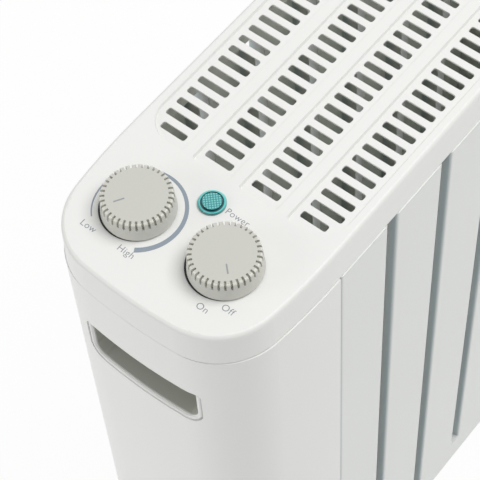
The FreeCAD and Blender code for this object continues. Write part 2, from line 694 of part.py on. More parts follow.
def make_base_tray():
    """Bottom plate with two rows of air inlets, notched round the side panels' end flanges."""
    tray = casing_block(PLASTIC + FIT, TRAY_Z, TRAY_TOP)
    tools = []
    notch_in = HALF_WIDTH - LEDGE_WIDTH - FIT
    for end in (-1, 1):
        x_pair = sorted((end * (SEAM_X - STEEL - FIT), end * (SEAM_X + FIT)))
        for side in (-1, 1):
            y_pair = sorted((side * notch_in, side * HALF_WIDTH))
            tools.append(box((x_pair[0], y_pair[0], TRAY_Z - 1), (x_pair[1], y_pair[1], TRAY_TOP + 1)))
    for index in range(INLET_COUNT):
        x = (index - (INLET_COUNT - 1) / 2) * INLET_PITCH
        for side in (-1, 1):
            y = side * INLET_Y
            wire = rounded_wire((x - INLET_WIDTH / 2, y - INLET_LENGTH / 2),
                                (x + INLET_WIDTH / 2, y + INLET_LENGTH / 2),
                                [INLET_R] * 4, flat_xy(TRAY_Z - 1))
            tools.append(prism(wire, vec(0, 0, TRAY_SHEET + 2)))
    for x, y in foot_screw_places():
        tools.append(rod((x, y, TRAY_Z - 1), (x, y, TRAY_TOP + 1), FOOT_SCREW_R))
    return cut_all(tray, tools)


# Controls

def make_spindle(x, y):
    """D-ended spindle from inside a control body up into its knob."""
    low = PANEL_UNDERSIDE - SPINDLE_IN_BODY
    high = KNOB_Z + KNOB_HEIGHT - KNOB_FACE
    shaft = rod((x, y, low), (x, y, high), SPINDLE_R)
    flat = box((x - SPINDLE_R, y + SPINDLE_R - SPINDLE_FLAT, high - SPINDLE_ENGAGE),
               (x + SPINDLE_R, y + SPINDLE_R, high))
    return shaft.cut(flat)


def knob_profile(offset):
    """Outer profile of a knob drawn in by offset: leaning side and round top edge."""
    lean = (KNOB_BASE_R - KNOB_TOP_R) / KNOB_HEIGHT
    base = KNOB_BASE_R - offset
    top = KNOB_HEIGHT - offset
    edge = KNOB_EDGE_R
    side_r = base - lean * (top - edge)
    slant = math.radians(45)
    points = [vec(0, 0, 0), vec(base, 0, 0), vec(side_r, 0, top - edge)]
    bend = vec(side_r - edge * (1 - math.cos(slant)), 0, top - edge * (1 - math.sin(slant)))
    shoulder = vec(side_r - edge, 0, top)
    edges = [Part.makeLine(points[0], points[1]), Part.makeLine(points[1], points[2]),
             Part.Arc(points[2], bend, shoulder).toShape(),
             Part.makeLine(shoulder, vec(0, 0, top)), Part.makeLine(vec(0, 0, top), points[0])]
    return Part.Wire(edges)


def make_knob(x, y, spindle):
    """Knob with a smooth lower band and grooves that run up over the top edge."""
    outer = Part.Face(knob_profile(0)).revolve(ORIGIN, Z_AXIS, 360)
    core = Part.Face(knob_profile(GROOVE_DEPTH)).revolve(ORIGIN, Z_AXIS, 360)
    half = GROOVE_WIDTH / 2
    low = GROOVE_START + half
    reach = KNOB_BASE_R + 1
    top = KNOB_HEIGHT + 1
    start = GROOVE_INNER_R
    wire = Part.Wire([
        line((start, -half, top), (start, -half, low)),
        arc((start, -half, low), (start, 0, low - half), (start, half, low)),
        line((start, half, low), (start, half, top)),
        line((start, half, top), (start, -half, top)),
    ])
    groove = prism(wire, vec(reach - start, 0, 0)).cut(core)
    grooves = []
    for index in range(GROOVE_COUNT):
        copy = groove.copy()
        copy.rotate(ORIGIN, Z_AXIS, index * 360 / GROOVE_COUNT)
        grooves.append(copy)
    knob = cut_all(outer, grooves)
    hollow_r = KNOB_TOP_R - GROOVE_DEPTH - KNOB_WALL
    hollow = Part.makeCylinder(hollow_r, KNOB_HEIGHT - KNOB_FACE)
    hub = Part.makeCylinder(KNOB_HUB_R, KNOB_HEIGHT - KNOB_FACE)
    knob = knob.cut(hollow.cut(hub))
    knob.translate(vec(x, y, KNOB_Z))
    return knob.cut(spindle)


def make_control_body(x, y, lug_count):
    """Control under the panel: rounded case, blade terminals below and a spindle bore."""
    half = CONTROL_BODY_SIZE / 2
    low = PANEL_UNDERSIDE - CONTROL_BODY_HEIGHT
    wire = rounded_wire((x - half, y - half), (x + half, y + half), [CONTROL_BODY_R] * 4, flat_xy(low))
    body = prism(wire, vec(0, 0, CONTROL_BODY_HEIGHT))
    blades = []
    for index in range(lug_count):
        middle = x + (index - (lug_count - 1) / 2) * CONTROL_BODY_SIZE / lug_count
        blades.append(box((middle - WIRE_R * 2, y - STEEL / 2, low - SPINDLE_IN_BODY),
                          (middle + WIRE_R * 2, y + STEEL / 2, low + 1)))
    body = join([body] + blades)
    bore_low = PANEL_UNDERSIDE - SPINDLE_IN_BODY - FIT
    tools = [rod((x, y, bore_low), (x, y, TOP_Z), SPINDLE_R + SPINDLE_RUNNING)]
    for side in (-1, 1):
        hole_x = x + side * CONTROL_SCREW_REACH
        tools.append(rod((hole_x, y, PANEL_UNDERSIDE - SMALL_SCREW_DEPTH), (hole_x, y, TOP_Z),
                         SMALL_SCREW_R))
    return cut_all(body, tools)


def make_control_screws():
    screws = []
    for x, y in control_screw_places():
        shank = rod((x, y, PANEL_UNDERSIDE - SMALL_SCREW_DEPTH), (x, y, TOP_Z), SMALL_SCREW_R)
        head = rod((x, y, TOP_Z), (x, y, TOP_Z + SMALL_HEAD_HEIGHT), SMALL_HEAD_R)
        screws.append(join([shank, head]))
    return Part.makeCompound(screws)


def make_lamp_lens():
    """Snap-in lens: flange, sunk ring and a low crowned disc over a stem."""
    points = [
        (0, -PLASTIC - LENS_STEM_LENGTH), (LENS_STEM_R, -PLASTIC - LENS_STEM_LENGTH),
        (LENS_STEM_R, 0), (LENS_FLANGE_R, 0), (LENS_FLANGE_R, LENS_HEIGHT - LENS_EDGE),
        (LENS_FLANGE_R - LENS_EDGE, LENS_HEIGHT), (LENS_GROOVE_OUTER_R, LENS_HEIGHT),
        (LENS_GROOVE_OUTER_R, LENS_HEIGHT - LENS_GROOVE_DEPTH),
        (LENS_GROOVE_INNER_R, LENS_HEIGHT - LENS_GROOVE_DEPTH),
        (LENS_GROOVE_INNER_R, LENS_HEIGHT), (LENS_GROOVE_INNER_R / 2, LENS_HEIGHT + LENS_CROWN),
        (0, LENS_HEIGHT + LENS_CROWN),
    ]
    return revolve(points, LAMP_X, LAMP_Y, TOP_Z)


def make_lamp_body():
    """Lamp holder below the lens, with two blade terminals."""
    high = PANEL_UNDERSIDE - LENS_STEM_LENGTH
    low = high - LAMP_BODY_LENGTH
    holder = rod((LAMP_X, LAMP_Y, low), (LAMP_X, LAMP_Y, high), LAMP_BODY_R)
    blades = []
    for side in (-1, 1):
        middle = LAMP_Y + side * LAMP_BODY_R / 2
        blades.append(box((LAMP_X - WIRE_R * 2, middle - STEEL / 2, low - INSULATOR_NECK),
                          (LAMP_X + WIRE_R * 2, middle + STEEL / 2, low + 1)))
    return join([holder] + blades)


def make_lamp_ring():
    high = PANEL_UNDERSIDE
    low = high - LAMP_RING_HEIGHT
    ring = rod((LAMP_X, LAMP_Y, low), (LAMP_X, LAMP_Y, high), LAMP_RING_R)
    return ring.cut(rod((LAMP_X, LAMP_Y, low - 1), (LAMP_X, LAMP_Y, high + 1), LENS_STEM_R))


# Heating elements and wiring

def make_element(y):
    """Extruded element: round core with four slanted fins."""
    length = 2 * ELEMENT_END
    core = Part.makeCylinder(ELEMENT_CORE_R, length, vec(-ELEMENT_END, y, ELEMENT_Z), vec(1, 0, 0))
    fins = []
    for turn in (45, 135):
        fin = box((-ELEMENT_END, y - ELEMENT_REACH, ELEMENT_Z - ELEMENT_FIN / 2),
                  (ELEMENT_END, y + ELEMENT_REACH, ELEMENT_Z + ELEMENT_FIN / 2))
        fin.rotate(vec(0, y, ELEMENT_Z), vec(1, 0, 0), turn)
        fins.append(fin)
    return join([core] + fins)


def element_ends():
    for end in (-1, 1):
        for side in (-1, 1):
            yield end, side * ELEMENT_Y


def make_terminals():
    pins = []
    for end, y in element_ends():
        pins.append(rod((end * ELEMENT_END, y, ELEMENT_Z), (end * TERMINAL_TIP, y, ELEMENT_Z), TERMINAL_R))
    return Part.makeCompound(pins)


def make_insulators(terminals):
    bushes = []
    for end, y in element_ends():
        flange = rod((end * ELEMENT_END, y, ELEMENT_Z), (end * PARTITION_IN, y, ELEMENT_Z),
                     INSULATOR_FLANGE_R)
        neck = rod((end * PARTITION_IN, y, ELEMENT_Z),
                   (end * (PARTITION_OUT + INSULATOR_NECK), y, ELEMENT_Z), INSULATOR_R)
        bushes.append(join([flange, neck]).cut(terminals))
    return Part.makeCompound(bushes)


def make_link(terminals):
    """Strap that joins the two elements at the far end."""
    start = PARTITION_OUT + INSULATOR_NECK
    half = ELEMENT_Y + LINK_HEIGHT / 2
    strap = box((start, -half, ELEMENT_Z - LINK_HEIGHT / 2),
                (start + LINK_SHEET, half, ELEMENT_Z + LINK_HEIGHT / 2))
    return strap.cut(terminals)


def make_cutout():
    """Round thermal cut-out on the control side of the partition."""
    start = -PARTITION_OUT
    flange = box((start - PLATE, -2 * CUTOUT_R, CUTOUT_Z - CUTOUT_R / 2),
                 (start, 2 * CUTOUT_R, CUTOUT_Z + CUTOUT_R / 2))
    can = rod((start, 0, CUTOUT_Z), (start - CUTOUT_LENGTH, 0, CUTOUT_Z), CUTOUT_R)
    return join([flange, can])


def make_tip_switch():
    """Sealed tip-over switch on the partition, upright, with two fixing ears."""
    depth, width, height = TIP_SWITCH
    start = -PARTITION_OUT
    case = box((start - depth, TIP_SWITCH_Y - width / 2, TIP_SWITCH_Z),
               (start, TIP_SWITCH_Y + width / 2, TIP_SWITCH_Z + height))
    upright = [e for e in case.Edges if abs(e.BoundBox.ZLength - height) < 0.01]
    outer = [e for e in upright if e.BoundBox.XMin < start - 1]
    case = case.makeFillet(SLAT_EDGE_R, outer)
    ear = box((start - 2 * PLATE, TIP_SWITCH_Y - width, TIP_SWITCH_Z),
              (start, TIP_SWITCH_Y + width, TIP_SWITCH_Z + height / 2))
    return join([case, ear])


def block_low():
    x = -SEAM_X - BLOCK_X_FROM_SEAM
    return x, -BLOCK[1] / 2, TRAY_TOP


def make_terminal_block():
    """Three-way screw terminal block on the tray."""
    x, y, z = block_low()
    block = box((x, y, z), (x + BLOCK[0], y + BLOCK[1], z + BLOCK[2]))
    way = BLOCK[1] / 3
    screw_x = x + BLOCK[0] * BLOCK_SCREW_SHARE
    tools = []
    for index in (1, 2):
        middle = y + index * way
        tools.append(box((x - 1, middle - PLATE / 2, z + BLOCK[2] / 3),
                         (x + BLOCK[0] + 1, middle + PLATE / 2, z + BLOCK[2] + 1)))
    for index in range(3):
        middle = y + (index + 0.5) * way
        tools.append(rod((screw_x, middle, z + BLOCK[2] / 2),
                         (screw_x, middle, z + BLOCK[2] + 1), SMALL_HEAD_R))
    return cut_all(block, tools)


def wire_along(points):
    """A round wire along straight runs joined by tangent bends."""
    runs = [vec(*point) for point in points]
    pieces = []
    start = runs[0]
    for index in range(1, len(runs) - 1):
        before = (runs[index - 1] - runs[index]).normalize()
        after = (runs[index + 1] - runs[index]).normalize()
        half_turn = before.getAngle(after) / 2
        step = WIRE_BEND_R / math.tan(half_turn)
        enter = runs[index] + before * step
        inward = (before + after).normalize()
        centre = runs[index] + inward * (WIRE_BEND_R / math.sin(half_turn))
        ring = Part.Face(Part.Wire(Part.makeCircle(WIRE_R, enter, before)))
        pieces.append(rod(start, enter, WIRE_R))
        pieces.append(ring.revolve(centre, after.cross(before), 180 - math.degrees(2 * half_turn)))
        start = runs[index] + after * step
    pieces.append(rod(start, runs[-1], WIRE_R))
    return join(pieces)


def make_wiring():
    """Wires from the terminal block through the controls to the elements and the lamp."""
    low = PANEL_UNDERSIDE - CONTROL_BODY_HEIGHT - SPINDLE_IN_BODY
    block_x, block_y, block_z = block_low()
    block_top = block_z + BLOCK[2]
    rear_x = block_x + BLOCK[0] * BLOCK_WIRE_SHARE
    way = BLOCK[1] / 3
    live_y = block_y + way / 2
    neutral_y = block_y + BLOCK[1] - way / 2
    knob_y = KNOB_SPACING / 2
    lug = CONTROL_BODY_SIZE / 3
    half_pitch = CONTROL_BODY_SIZE / 4
    turn_z = low - 2 * WIRE_BEND_R
    cut_x = -PARTITION_OUT - CUTOUT_LENGTH
    cut_y = CUTOUT_R / 2
    tip_x = -TERMINAL_TIP
    lamp_low = PANEL_UNDERSIDE - LENS_STEM_LENGTH - LAMP_BODY_LENGTH - INSULATOR_NECK
    lamp_y = LAMP_Y - LAMP_BODY_R / 2
    lamp_turn = lamp_low - 2 * WIRE_BEND_R
    riser_x = CONTROL_X
    routes = [
        [(rear_x, live_y, block_top), (rear_x, live_y, turn_z - 3 * WIRE_BEND_R),
         (riser_x, -knob_y, turn_z), (riser_x, -knob_y, low)],
        [(riser_x - lug, -knob_y, low), (riser_x - lug, -knob_y, turn_z),
         (riser_x - half_pitch, knob_y, turn_z), (riser_x - half_pitch, knob_y, low)],
        [(riser_x + half_pitch, knob_y, low), (riser_x + half_pitch, knob_y, CUTOUT_Z),
         (riser_x + half_pitch, cut_y, CUTOUT_Z), (cut_x, cut_y, CUTOUT_Z)],
        [(cut_x, -cut_y, CUTOUT_Z), (riser_x + half_pitch, -cut_y, CUTOUT_Z),
         (riser_x + half_pitch, -ELEMENT_Y, CUTOUT_Z), (riser_x + half_pitch, -ELEMENT_Y, ELEMENT_Z),
         (tip_x, -ELEMENT_Y, ELEMENT_Z)],
        [(rear_x, neutral_y, block_top), (rear_x, neutral_y, ELEMENT_Z),
         (rear_x, ELEMENT_Y, ELEMENT_Z), (tip_x, ELEMENT_Y, ELEMENT_Z)],
        [(LAMP_X, lamp_y, lamp_low), (LAMP_X, lamp_y, lamp_turn),
         (riser_x + lug, -knob_y, lamp_turn), (riser_x + lug, -knob_y, low)],
    ]
    return Part.makeCompound([wire_along(route) for route in routes])


# Fasteners and gland

def make_screw(start, inward, length):
    """Pan-head screw: start is under the head, inward the way the shank runs."""
    direction = vec(*inward)
    shank = Part.makeCylinder(SCREW_R, length, vec(*start), direction)
    head = Part.makeCylinder(SCREW_HEAD_R, SCREW_HEAD, vec(*start), direction * -1)
    return join([shank, head])


def make_cover_screws():
    screws = []
    length = SEAM_X + SIDE_SEAM_GAP + SCREW_DEPTH - PARTITION_IN
    for end in (-1, 1):
        for y, z in boss_places():
            screws.append(make_screw((end * PARTITION_IN, y, z), (end, 0, 0), length))
    return Part.makeCompound(screws)


def make_cap_screws():
    screws = []
    for x, y in cap_boss_places():
        screws.append(make_screw((x, y, PARTITION_TOP - PLATE), (0, 0, 1), PLATE + SCREW_DEPTH))
    return Part.makeCompound(screws)


def make_gland():
    """Bush held in the notch of the control end cover's back wall."""
    inside = HALF_WIDTH - PLASTIC
    neck = rod((GLAND_X, inside, GLAND_Z), (GLAND_X, HALF_WIDTH, GLAND_Z), GLAND_NECK_R)
    outer = rod((GLAND_X, HALF_WIDTH, GLAND_Z), (GLAND_X, HALF_WIDTH + GLAND_FLANGE, GLAND_Z),
                GLAND_FLANGE_R)
    inner = rod((GLAND_X, inside - GLAND_FLANGE, GLAND_Z), (GLAND_X, inside, GLAND_Z), GLAND_FLANGE_R)
    bush = join([neck, outer, inner])
    bore = rod((GLAND_X, inside - 2 * GLAND_FLANGE, GLAND_Z),
               (GLAND_X, HALF_WIDTH + 2 * GLAND_FLANGE, GLAND_Z), GLAND_BORE_R)
    return bush.cut(bore)


# Feet

def foot_block(inset):
    """A foot bar's outer form at the control end, drawn in by inset."""
    half = FOOT_LENGTH / 2 - inset
    top = BODY_BOTTOM - inset
    tip = BODY_BOTTOM - FOOT_TIP_DROP - inset
    floor = FOOT_BOTTOM - (1 if inset else 0)
    arch = floor + FOOT_ARCH
    flat = FOOT_ARCH_HALF
    spring = flat + 2 * FOOT_ARCH
    start = -FOOT_X - FOOT_WIDTH
    points = [(-half, floor), (-spring, floor), (-flat, arch), (flat, arch), (spring, floor),
              (half, floor), (half, tip), (FOOT_SHOULDER, top), (-FOOT_SHOULDER, top), (-half, tip)]
    wire = Part.makePolygon([vec(start, y, z) for y, z in points + points[:1]])
    bar = prism(wire, vec(2 * FOOT_WIDTH, 0, 0))
    width = FOOT_WIDTH / 2 - inset
    radius = width * FOOT_TIP_ROUND
    plan = rounded_wire((-FOOT_X - width, -half), (-FOOT_X + width, half), [radius] * 4,
                        flat_xy(floor - 1))
    return bar.common(prism(plan, vec(0, 0, BODY_BOTTOM)))


def make_foot_bar():
    """Hollow moulded bar with screw bosses for the casing and sockets for two castors."""
    bar = foot_block(0)
    rim = [e for e in bar.Edges
           if e.BoundBox.ZMin > BODY_BOTTOM - FOOT_TIP_DROP - 0.01 and e.BoundBox.YLength > 1]
    bar = bar.makeFillet(FOOT_EDGE_R, rim)
    bar = bar.cut(foot_block(FOOT_WALL))
    x = -FOOT_X
    extras = []
    tools = []
    for side in (-1, 1):
        y = side * CASTOR_Y
        extras.append(rod((x, y, FOOT_BOTTOM), (x, y, BODY_BOTTOM), SOCKET_R).common(foot_block(0)))
        tools.append(rod((x, y, FOOT_BOTTOM - 1), (x, y, FORK_TOP + STEM_LENGTH + FIT),
                         STEM_R + STEM_RUNNING))
        y = side * FOOT_SCREW_Y
        low = FOOT_BOTTOM + FOOT_ARCH
        extras.append(rod((x, y, low), (x, y, TRAY_Z), FOOT_BOSS_R))
        tools.append(rod((x, y, low - 1), (x, y, TRAY_Z + 1), FOOT_SCREW_R))
        tools.append(rod((x, y, low - 1), (x, y, low + FOOT_SCREW_HEAD), FOOT_SCREW_HEAD_R))
    return cut_all(join([bar] + extras), tools)


def make_foot_screws():
    screws = []
    seat = FOOT_BOTTOM + FOOT_ARCH + FOOT_SCREW_HEAD
    for x, y in foot_screw_places():
        shank = rod((x, y, seat), (x, y, TRAY_TOP + NUT_HEIGHT), FOOT_SCREW_R)
        head = rod((x, y, seat - FOOT_SCREW_HEAD), (x, y, seat), FOOT_SCREW_HEAD_R)
        screws.append(join([shank, head]))
    return Part.makeCompound(screws)


def make_foot_nuts(screws):
    nuts = []
    radius = NUT_ACROSS / math.sqrt(3)
    for x, y in foot_screw_places():
        points = []
        for index in range(7):
            angle = math.radians(60 * index)
            points.append(vec(x + radius * math.cos(angle), y + radius * math.sin(angle), TRAY_TOP))
        nut = prism(Part.makePolygon(points), vec(0, 0, NUT_HEIGHT))
        nuts.append(nut.cut(screws))
    return Part.makeCompound(nuts)


def make_fork(x, y, trail):
    """Castor fork: hooded side profile, slot for the wheel and a swivel stem."""
    eye_x = x + trail
    side = 1 if trail > 0 else -1
    eye = WHEEL_R
    half = WHEEL_WIDTH / 2 + FORK_SIDE_GAP + FORK_CHEEK
    start = y - half
    hood_low = eye + WHEEL_R + FORK_WHEEL_GAP
    slant = math.radians(FORK_SLANT_DEG)
    tangent = FORK_EYE_R * math.cos(slant)
    rise = FORK_EYE_R * math.sin(slant)
    far = (eye_x + side * tangent, start, eye + rise)
    near = (eye_x - side * tangent, start, eye - rise)
    edges = [
        line((x - side * FORK_PLATE_HALF, start, hood_low), (x - side * FORK_PLATE_HALF, start, FORK_TOP)),
        line((x - side * FORK_PLATE_HALF, start, FORK_TOP), (x + side * FORK_PLATE_HALF, start, FORK_TOP)),
        line((x + side * FORK_PLATE_HALF, start, FORK_TOP), far),
        arc(far, (eye_x + side * rise, start, eye - tangent), near),
        line(near, (x - side * FORK_PLATE_HALF, start, hood_low)),
    ]
    fork = prism(Part.Wire(edges), vec(0, 2 * half, 0))
    slot_half = WHEEL_WIDTH / 2 + FORK_SIDE_GAP
    slot = rod((eye_x, y - slot_half, eye), (eye_x, y + slot_half, eye), WHEEL_R + FORK_WHEEL_GAP)
    pin_hole = rod((eye_x, start - 1, eye), (eye_x, start + 2 * half + 1, eye), AXLE_R)
    stem = rod((x, y, FORK_TOP - 1), (x, y, FORK_TOP + STEM_LENGTH), STEM_R)
    return join([cut_all(fork, [slot, pin_hole]), stem])


def make_axle(x, y, trail):
    half = WHEEL_WIDTH / 2 + FORK_SIDE_GAP + FORK_CHEEK
    return rod((x + trail, y - half, WHEEL_R), (x + trail, y + half, WHEEL_R), AXLE_R)


def make_wheel(x, y, trail):
    """Castor wheel: round-shouldered tread, dished faces and a plain bore."""
    half = WHEEL_WIDTH / 2
    wheel = Part.makeCylinder(WHEEL_R, WHEEL_WIDTH, vec(0, -half, 0), vec(0, 1, 0))
    shoulders = [e for e in wheel.Edges if e.Curve.TypeId == "Part::GeomCircle"]
    wheel = wheel.makeFillet(WHEEL_SHOULDER_R, shoulders)
    tools = [rod((0, -WHEEL_WIDTH, 0), (0, WHEEL_WIDTH, 0), AXLE_R + AXLE_RUNNING)]
    for low in (-half - 1, half - WHEEL_DISH):
        dish = Part.makeCylinder(WHEEL_R - WHEEL_RIM, WHEEL_DISH + 1, vec(0, low, 0), vec(0, 1, 0))
        hub = Part.makeCylinder(WHEEL_HUB_R, WHEEL_DISH + 1, vec(0, low, 0), vec(0, 1, 0))
        tools.append(dish.cut(hub))
    wheel = cut_all(wheel, tools)
    wheel.translate(vec(x + trail, y, WHEEL_R))
    return wheel


def castors():
    """Name, swivel axis and trail of each castor; both ends trail outwards."""
    for end, sign in (("control", -1), ("far", 1)):
        for side, turn in (("front", -1), ("back", 1)):
            yield f"{end}_{side}", sign * FOOT_X, turn * CASTOR_Y, sign * CASTOR_TRAIL


def build():
    """Every node by name."""
    (thermo_x, thermo_y), (switch_x, switch_y) = control_places()
    thermo_spindle = make_spindle(thermo_x, thermo_y)
    switch_spindle = make_spindle(switch_x, switch_y)
    front_panel = make_front_panel()
    cup = make_handle_cup()
    partition = make_partition()
    foot_bar = make_foot_bar()
    terminals = make_terminals()
    foot_screws = make_foot_screws()
    nodes = {
        "top_cover": make_top_cover(),
        "front_panel": front_panel,
        "back_panel": turned(front_panel),
        "control_end_cover": make_end_cover(True),
        "far_end_cover": turned(make_end_cover(False)),
        "control_handle_cup": cup,
        "far_handle_cup": turned(cup),
        "base_tray": make_base_tray(),
        "control_partition": partition,
        "far_partition": turned(partition),
        "thermostat_knob": make_knob(thermo_x, thermo_y, thermo_spindle),
        "thermostat_spindle": thermo_spindle,
        "thermostat_body": make_control_body(thermo_x, thermo_y, 2),
        "switch_knob": make_knob(switch_x, switch_y, switch_spindle),
        "switch_spindle": switch_spindle,
        "switch_body": make_control_body(switch_x, switch_y, 3),
        "control_screws": make_control_screws(),
        "pilot_lamp_lens": make_lamp_lens(),
        "pilot_lamp_body": make_lamp_body(),
        "pilot_lamp_ring": make_lamp_ring(),
        "heating_element_front": make_element(-ELEMENT_Y),
        "heating_element_back": make_element(ELEMENT_Y),
        "element_terminals": terminals,
        "element_insulators": make_insulators(terminals),
        "element_link": make_link(terminals),
        "thermal_cutout": make_cutout(),
        "tip_over_switch": make_tip_switch(),
        "terminal_block": make_terminal_block(),
        "wiring": make_wiring(),
        "cord_gland": make_gland(),
        "cover_screws": make_cover_screws(),
        "cap_screws": make_cap_screws(),
        "control_foot_bar": foot_bar,
        "far_foot_bar": turned(foot_bar),
        "foot_screws": foot_screws,
        "foot_nuts": make_foot_nuts(foot_screws),
    }
    for name, x, y, trail in castors():
        nodes[f"castor_fork_{name}"] = make_fork(x, y, trail)
        nodes[f"castor_axle_{name}"] = make_axle(x, y, trail)
        nodes[f"castor_wheel_{name}"] = make_wheel(x, y, trail)
    return nodes


os.makedirs("parts", exist_ok=True)
for node, shape in build().items():
    shape.exportStep(f"parts/{node}.step")
    print(f"{node:28s} solids {len(shape.Solids):2d} faces {len(shape.Faces):5d} valid {shape.isValid()} "
          f"volume {shape.Volume:10.1f}")
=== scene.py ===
"""Looks of an oil-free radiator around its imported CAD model: metres, in the CAD's own frame."""

import json
import math

import bpy
from bpy.props import FloatProperty, FloatVectorProperty, IntProperty, PointerProperty
from mathutils import Matrix, Vector


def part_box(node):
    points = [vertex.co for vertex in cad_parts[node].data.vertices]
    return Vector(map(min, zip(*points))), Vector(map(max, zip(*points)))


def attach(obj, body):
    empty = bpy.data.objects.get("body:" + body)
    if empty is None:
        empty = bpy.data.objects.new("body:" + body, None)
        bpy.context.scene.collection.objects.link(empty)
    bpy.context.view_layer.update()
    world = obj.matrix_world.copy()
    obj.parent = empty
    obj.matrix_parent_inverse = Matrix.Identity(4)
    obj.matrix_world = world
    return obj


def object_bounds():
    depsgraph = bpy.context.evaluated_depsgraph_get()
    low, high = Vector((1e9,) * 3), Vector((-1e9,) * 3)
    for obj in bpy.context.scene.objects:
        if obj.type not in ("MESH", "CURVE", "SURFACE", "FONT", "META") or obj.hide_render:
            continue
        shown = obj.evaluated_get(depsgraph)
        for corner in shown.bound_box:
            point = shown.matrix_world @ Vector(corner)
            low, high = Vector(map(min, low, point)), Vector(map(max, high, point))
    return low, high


bl_info = {
    "name": "Oil-free radiator",
    "version": (1, 0, 0),
    "blender": (4, 5, 0),
    "location": "View3D > Sidebar > Radiator",
    # The seals named here are black rings of painted shadow under the knobs
    "description": "Finishes, prints, seals, beads, lamp and studio of a slatted radiator",
    "category": "Object",
}

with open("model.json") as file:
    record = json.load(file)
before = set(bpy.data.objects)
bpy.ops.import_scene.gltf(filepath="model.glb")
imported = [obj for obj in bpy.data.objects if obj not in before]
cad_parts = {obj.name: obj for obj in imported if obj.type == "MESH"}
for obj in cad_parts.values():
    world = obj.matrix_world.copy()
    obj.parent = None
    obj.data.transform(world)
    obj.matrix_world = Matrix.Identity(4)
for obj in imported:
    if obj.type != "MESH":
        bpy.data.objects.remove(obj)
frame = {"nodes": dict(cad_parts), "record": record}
CAD_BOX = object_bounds()
MM = 0.001

# Places read from the CAD nodes
PANEL_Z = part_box("top_cover")[1].z
SIDE_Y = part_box("back_panel")[1].y

# Sockets of a Mix node that mixes colours: its share, its two colours and its result
SHARE, COLOUR_A, COLOUR_B, MIXED = 0, 6, 7, 2
# Nearly all values of a noise texture lie in this span
NOISE_SPAN = {"From Min": 0.3, "From Max": 0.7}
FULL_WHITE = (1.0, 1.0, 1.0, 1.0)
# A face lies level where its normal's Z is above this
LEVEL = 0.9


def middle_of(node):
    """Middle of a node's box, in metres."""
    low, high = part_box(node)
    return (low + high) / 2


# Colours and shader nodes

def linear(hex_colour):
    """An sRGB hex colour as the linear red, green, blue and alpha that sockets take."""
    channels = []
    for start in (1, 3, 5):
        value = int(hex_colour[start:start + 2], 16) / 255
        channels.append(value / 12.92 if value <= 0.04045 else ((value + 0.055) / 1.055) ** 2.4)
    return (*channels, 1.0)


def per_mm(size_mm):
    """Texture scale that gives one feature every so many millimetres on Object coordinates."""
    return 1.0 / (size_mm * MM)


def add_node(tree, kind, inputs=None, **fields):
    """Add a shader node: fields are its settings, inputs are values or sockets to link."""
    made = tree.nodes.new(kind)
    for field, value in fields.items():
        setattr(made, field, value)
    for socket, value in (inputs or {}).items():
        if isinstance(value, bpy.types.NodeSocket):
            tree.links.new(value, made.inputs[socket])
        else:
            made.inputs[socket].default_value = value
    return made


def start_material(name):
    """An empty node material, its tree and its Object coordinates."""
    material = bpy.data.materials.new(name)
    material.use_nodes = True
    tree = material.node_tree
    tree.nodes.clear()
    place = add_node(tree, "ShaderNodeTexCoord").outputs["Object"]
    return material, tree, place


def end_material(tree, shader):
    """Link a finished shader to the surface."""
    add_node(tree, "ShaderNodeOutputMaterial", {"Surface": shader.outputs[0]})


# Finishes

def moulded_plastic(name, colour, shade, painted_edge_tone, grain_mm, depth_mm, roughness, edge_mm):
    """Injection-moulded plastic with an eroded tool grain.

    The eye sees a satin skin whose highlights are broken by the grain and roll over soft edges,
    a tone painted on the faces that slope up at the edges, which each finish sets paler for a
    painted highlight and greyer for painted shade, and a slow drift of tone.
    """
    drift_mm = 130.0
    # The edge tone is painted where the normal's Z is this much, give or take the reach
    edge_tilt = 0.62
    tilt_reach = 0.34
    material, tree, place = start_material(name)
    drift = add_node(tree, "ShaderNodeTexNoise", {
        "Vector": place, "Scale": per_mm(drift_mm), "Detail": 1.0})
    tone = add_node(tree, "ShaderNodeMix", {
        SHARE: drift.outputs[0], COLOUR_A: colour, COLOUR_B: shade}, data_type="RGBA")
    # Painted light: faces that slope up at the edges take the painted edge tone, as highlight or
    # shade
    facing = add_node(tree, "ShaderNodeSeparateXYZ", {
        "Vector": add_node(tree, "ShaderNodeTexCoord").outputs["Normal"]})
    painted_edge_share = add_node(tree, "ShaderNodeMath", {
        0: facing.outputs["Z"], 1: edge_tilt, 2: tilt_reach}, operation="COMPARE")
    skin = add_node(tree, "ShaderNodeMix", {
        SHARE: painted_edge_share.outputs[0], COLOUR_A: tone.outputs[MIXED], COLOUR_B: painted_edge_tone}, data_type="RGBA")
    grain = add_node(tree, "ShaderNodeTexNoise", {
        "Vector": place, "Scale": per_mm(grain_mm), "Detail": 2.0, "Roughness": 0.6})
    satin = add_node(tree, "ShaderNodeMapRange", {
        "Value": grain.outputs[0], **NOISE_SPAN,
        "To Min": roughness - 0.05, "To Max": roughness + 0.06})
    rounded = add_node(tree, "ShaderNodeBevel", {"Radius": edge_mm * MM}, samples=6)
    bump = add_node(tree, "ShaderNodeBump", {
        "Strength": 0.5, "Distance": depth_mm * MM, "Height": grain.outputs[0],
        "Normal": rounded.outputs[0]})
    shader = add_node(tree, "ShaderNodeBsdfPrincipled", {
        "Base Color": skin.outputs[MIXED], "Normal": bump.outputs[0], "IOR": 1.5,
        "Roughness": satin.outputs[0]})
    end_material(tree, shader)
    return material


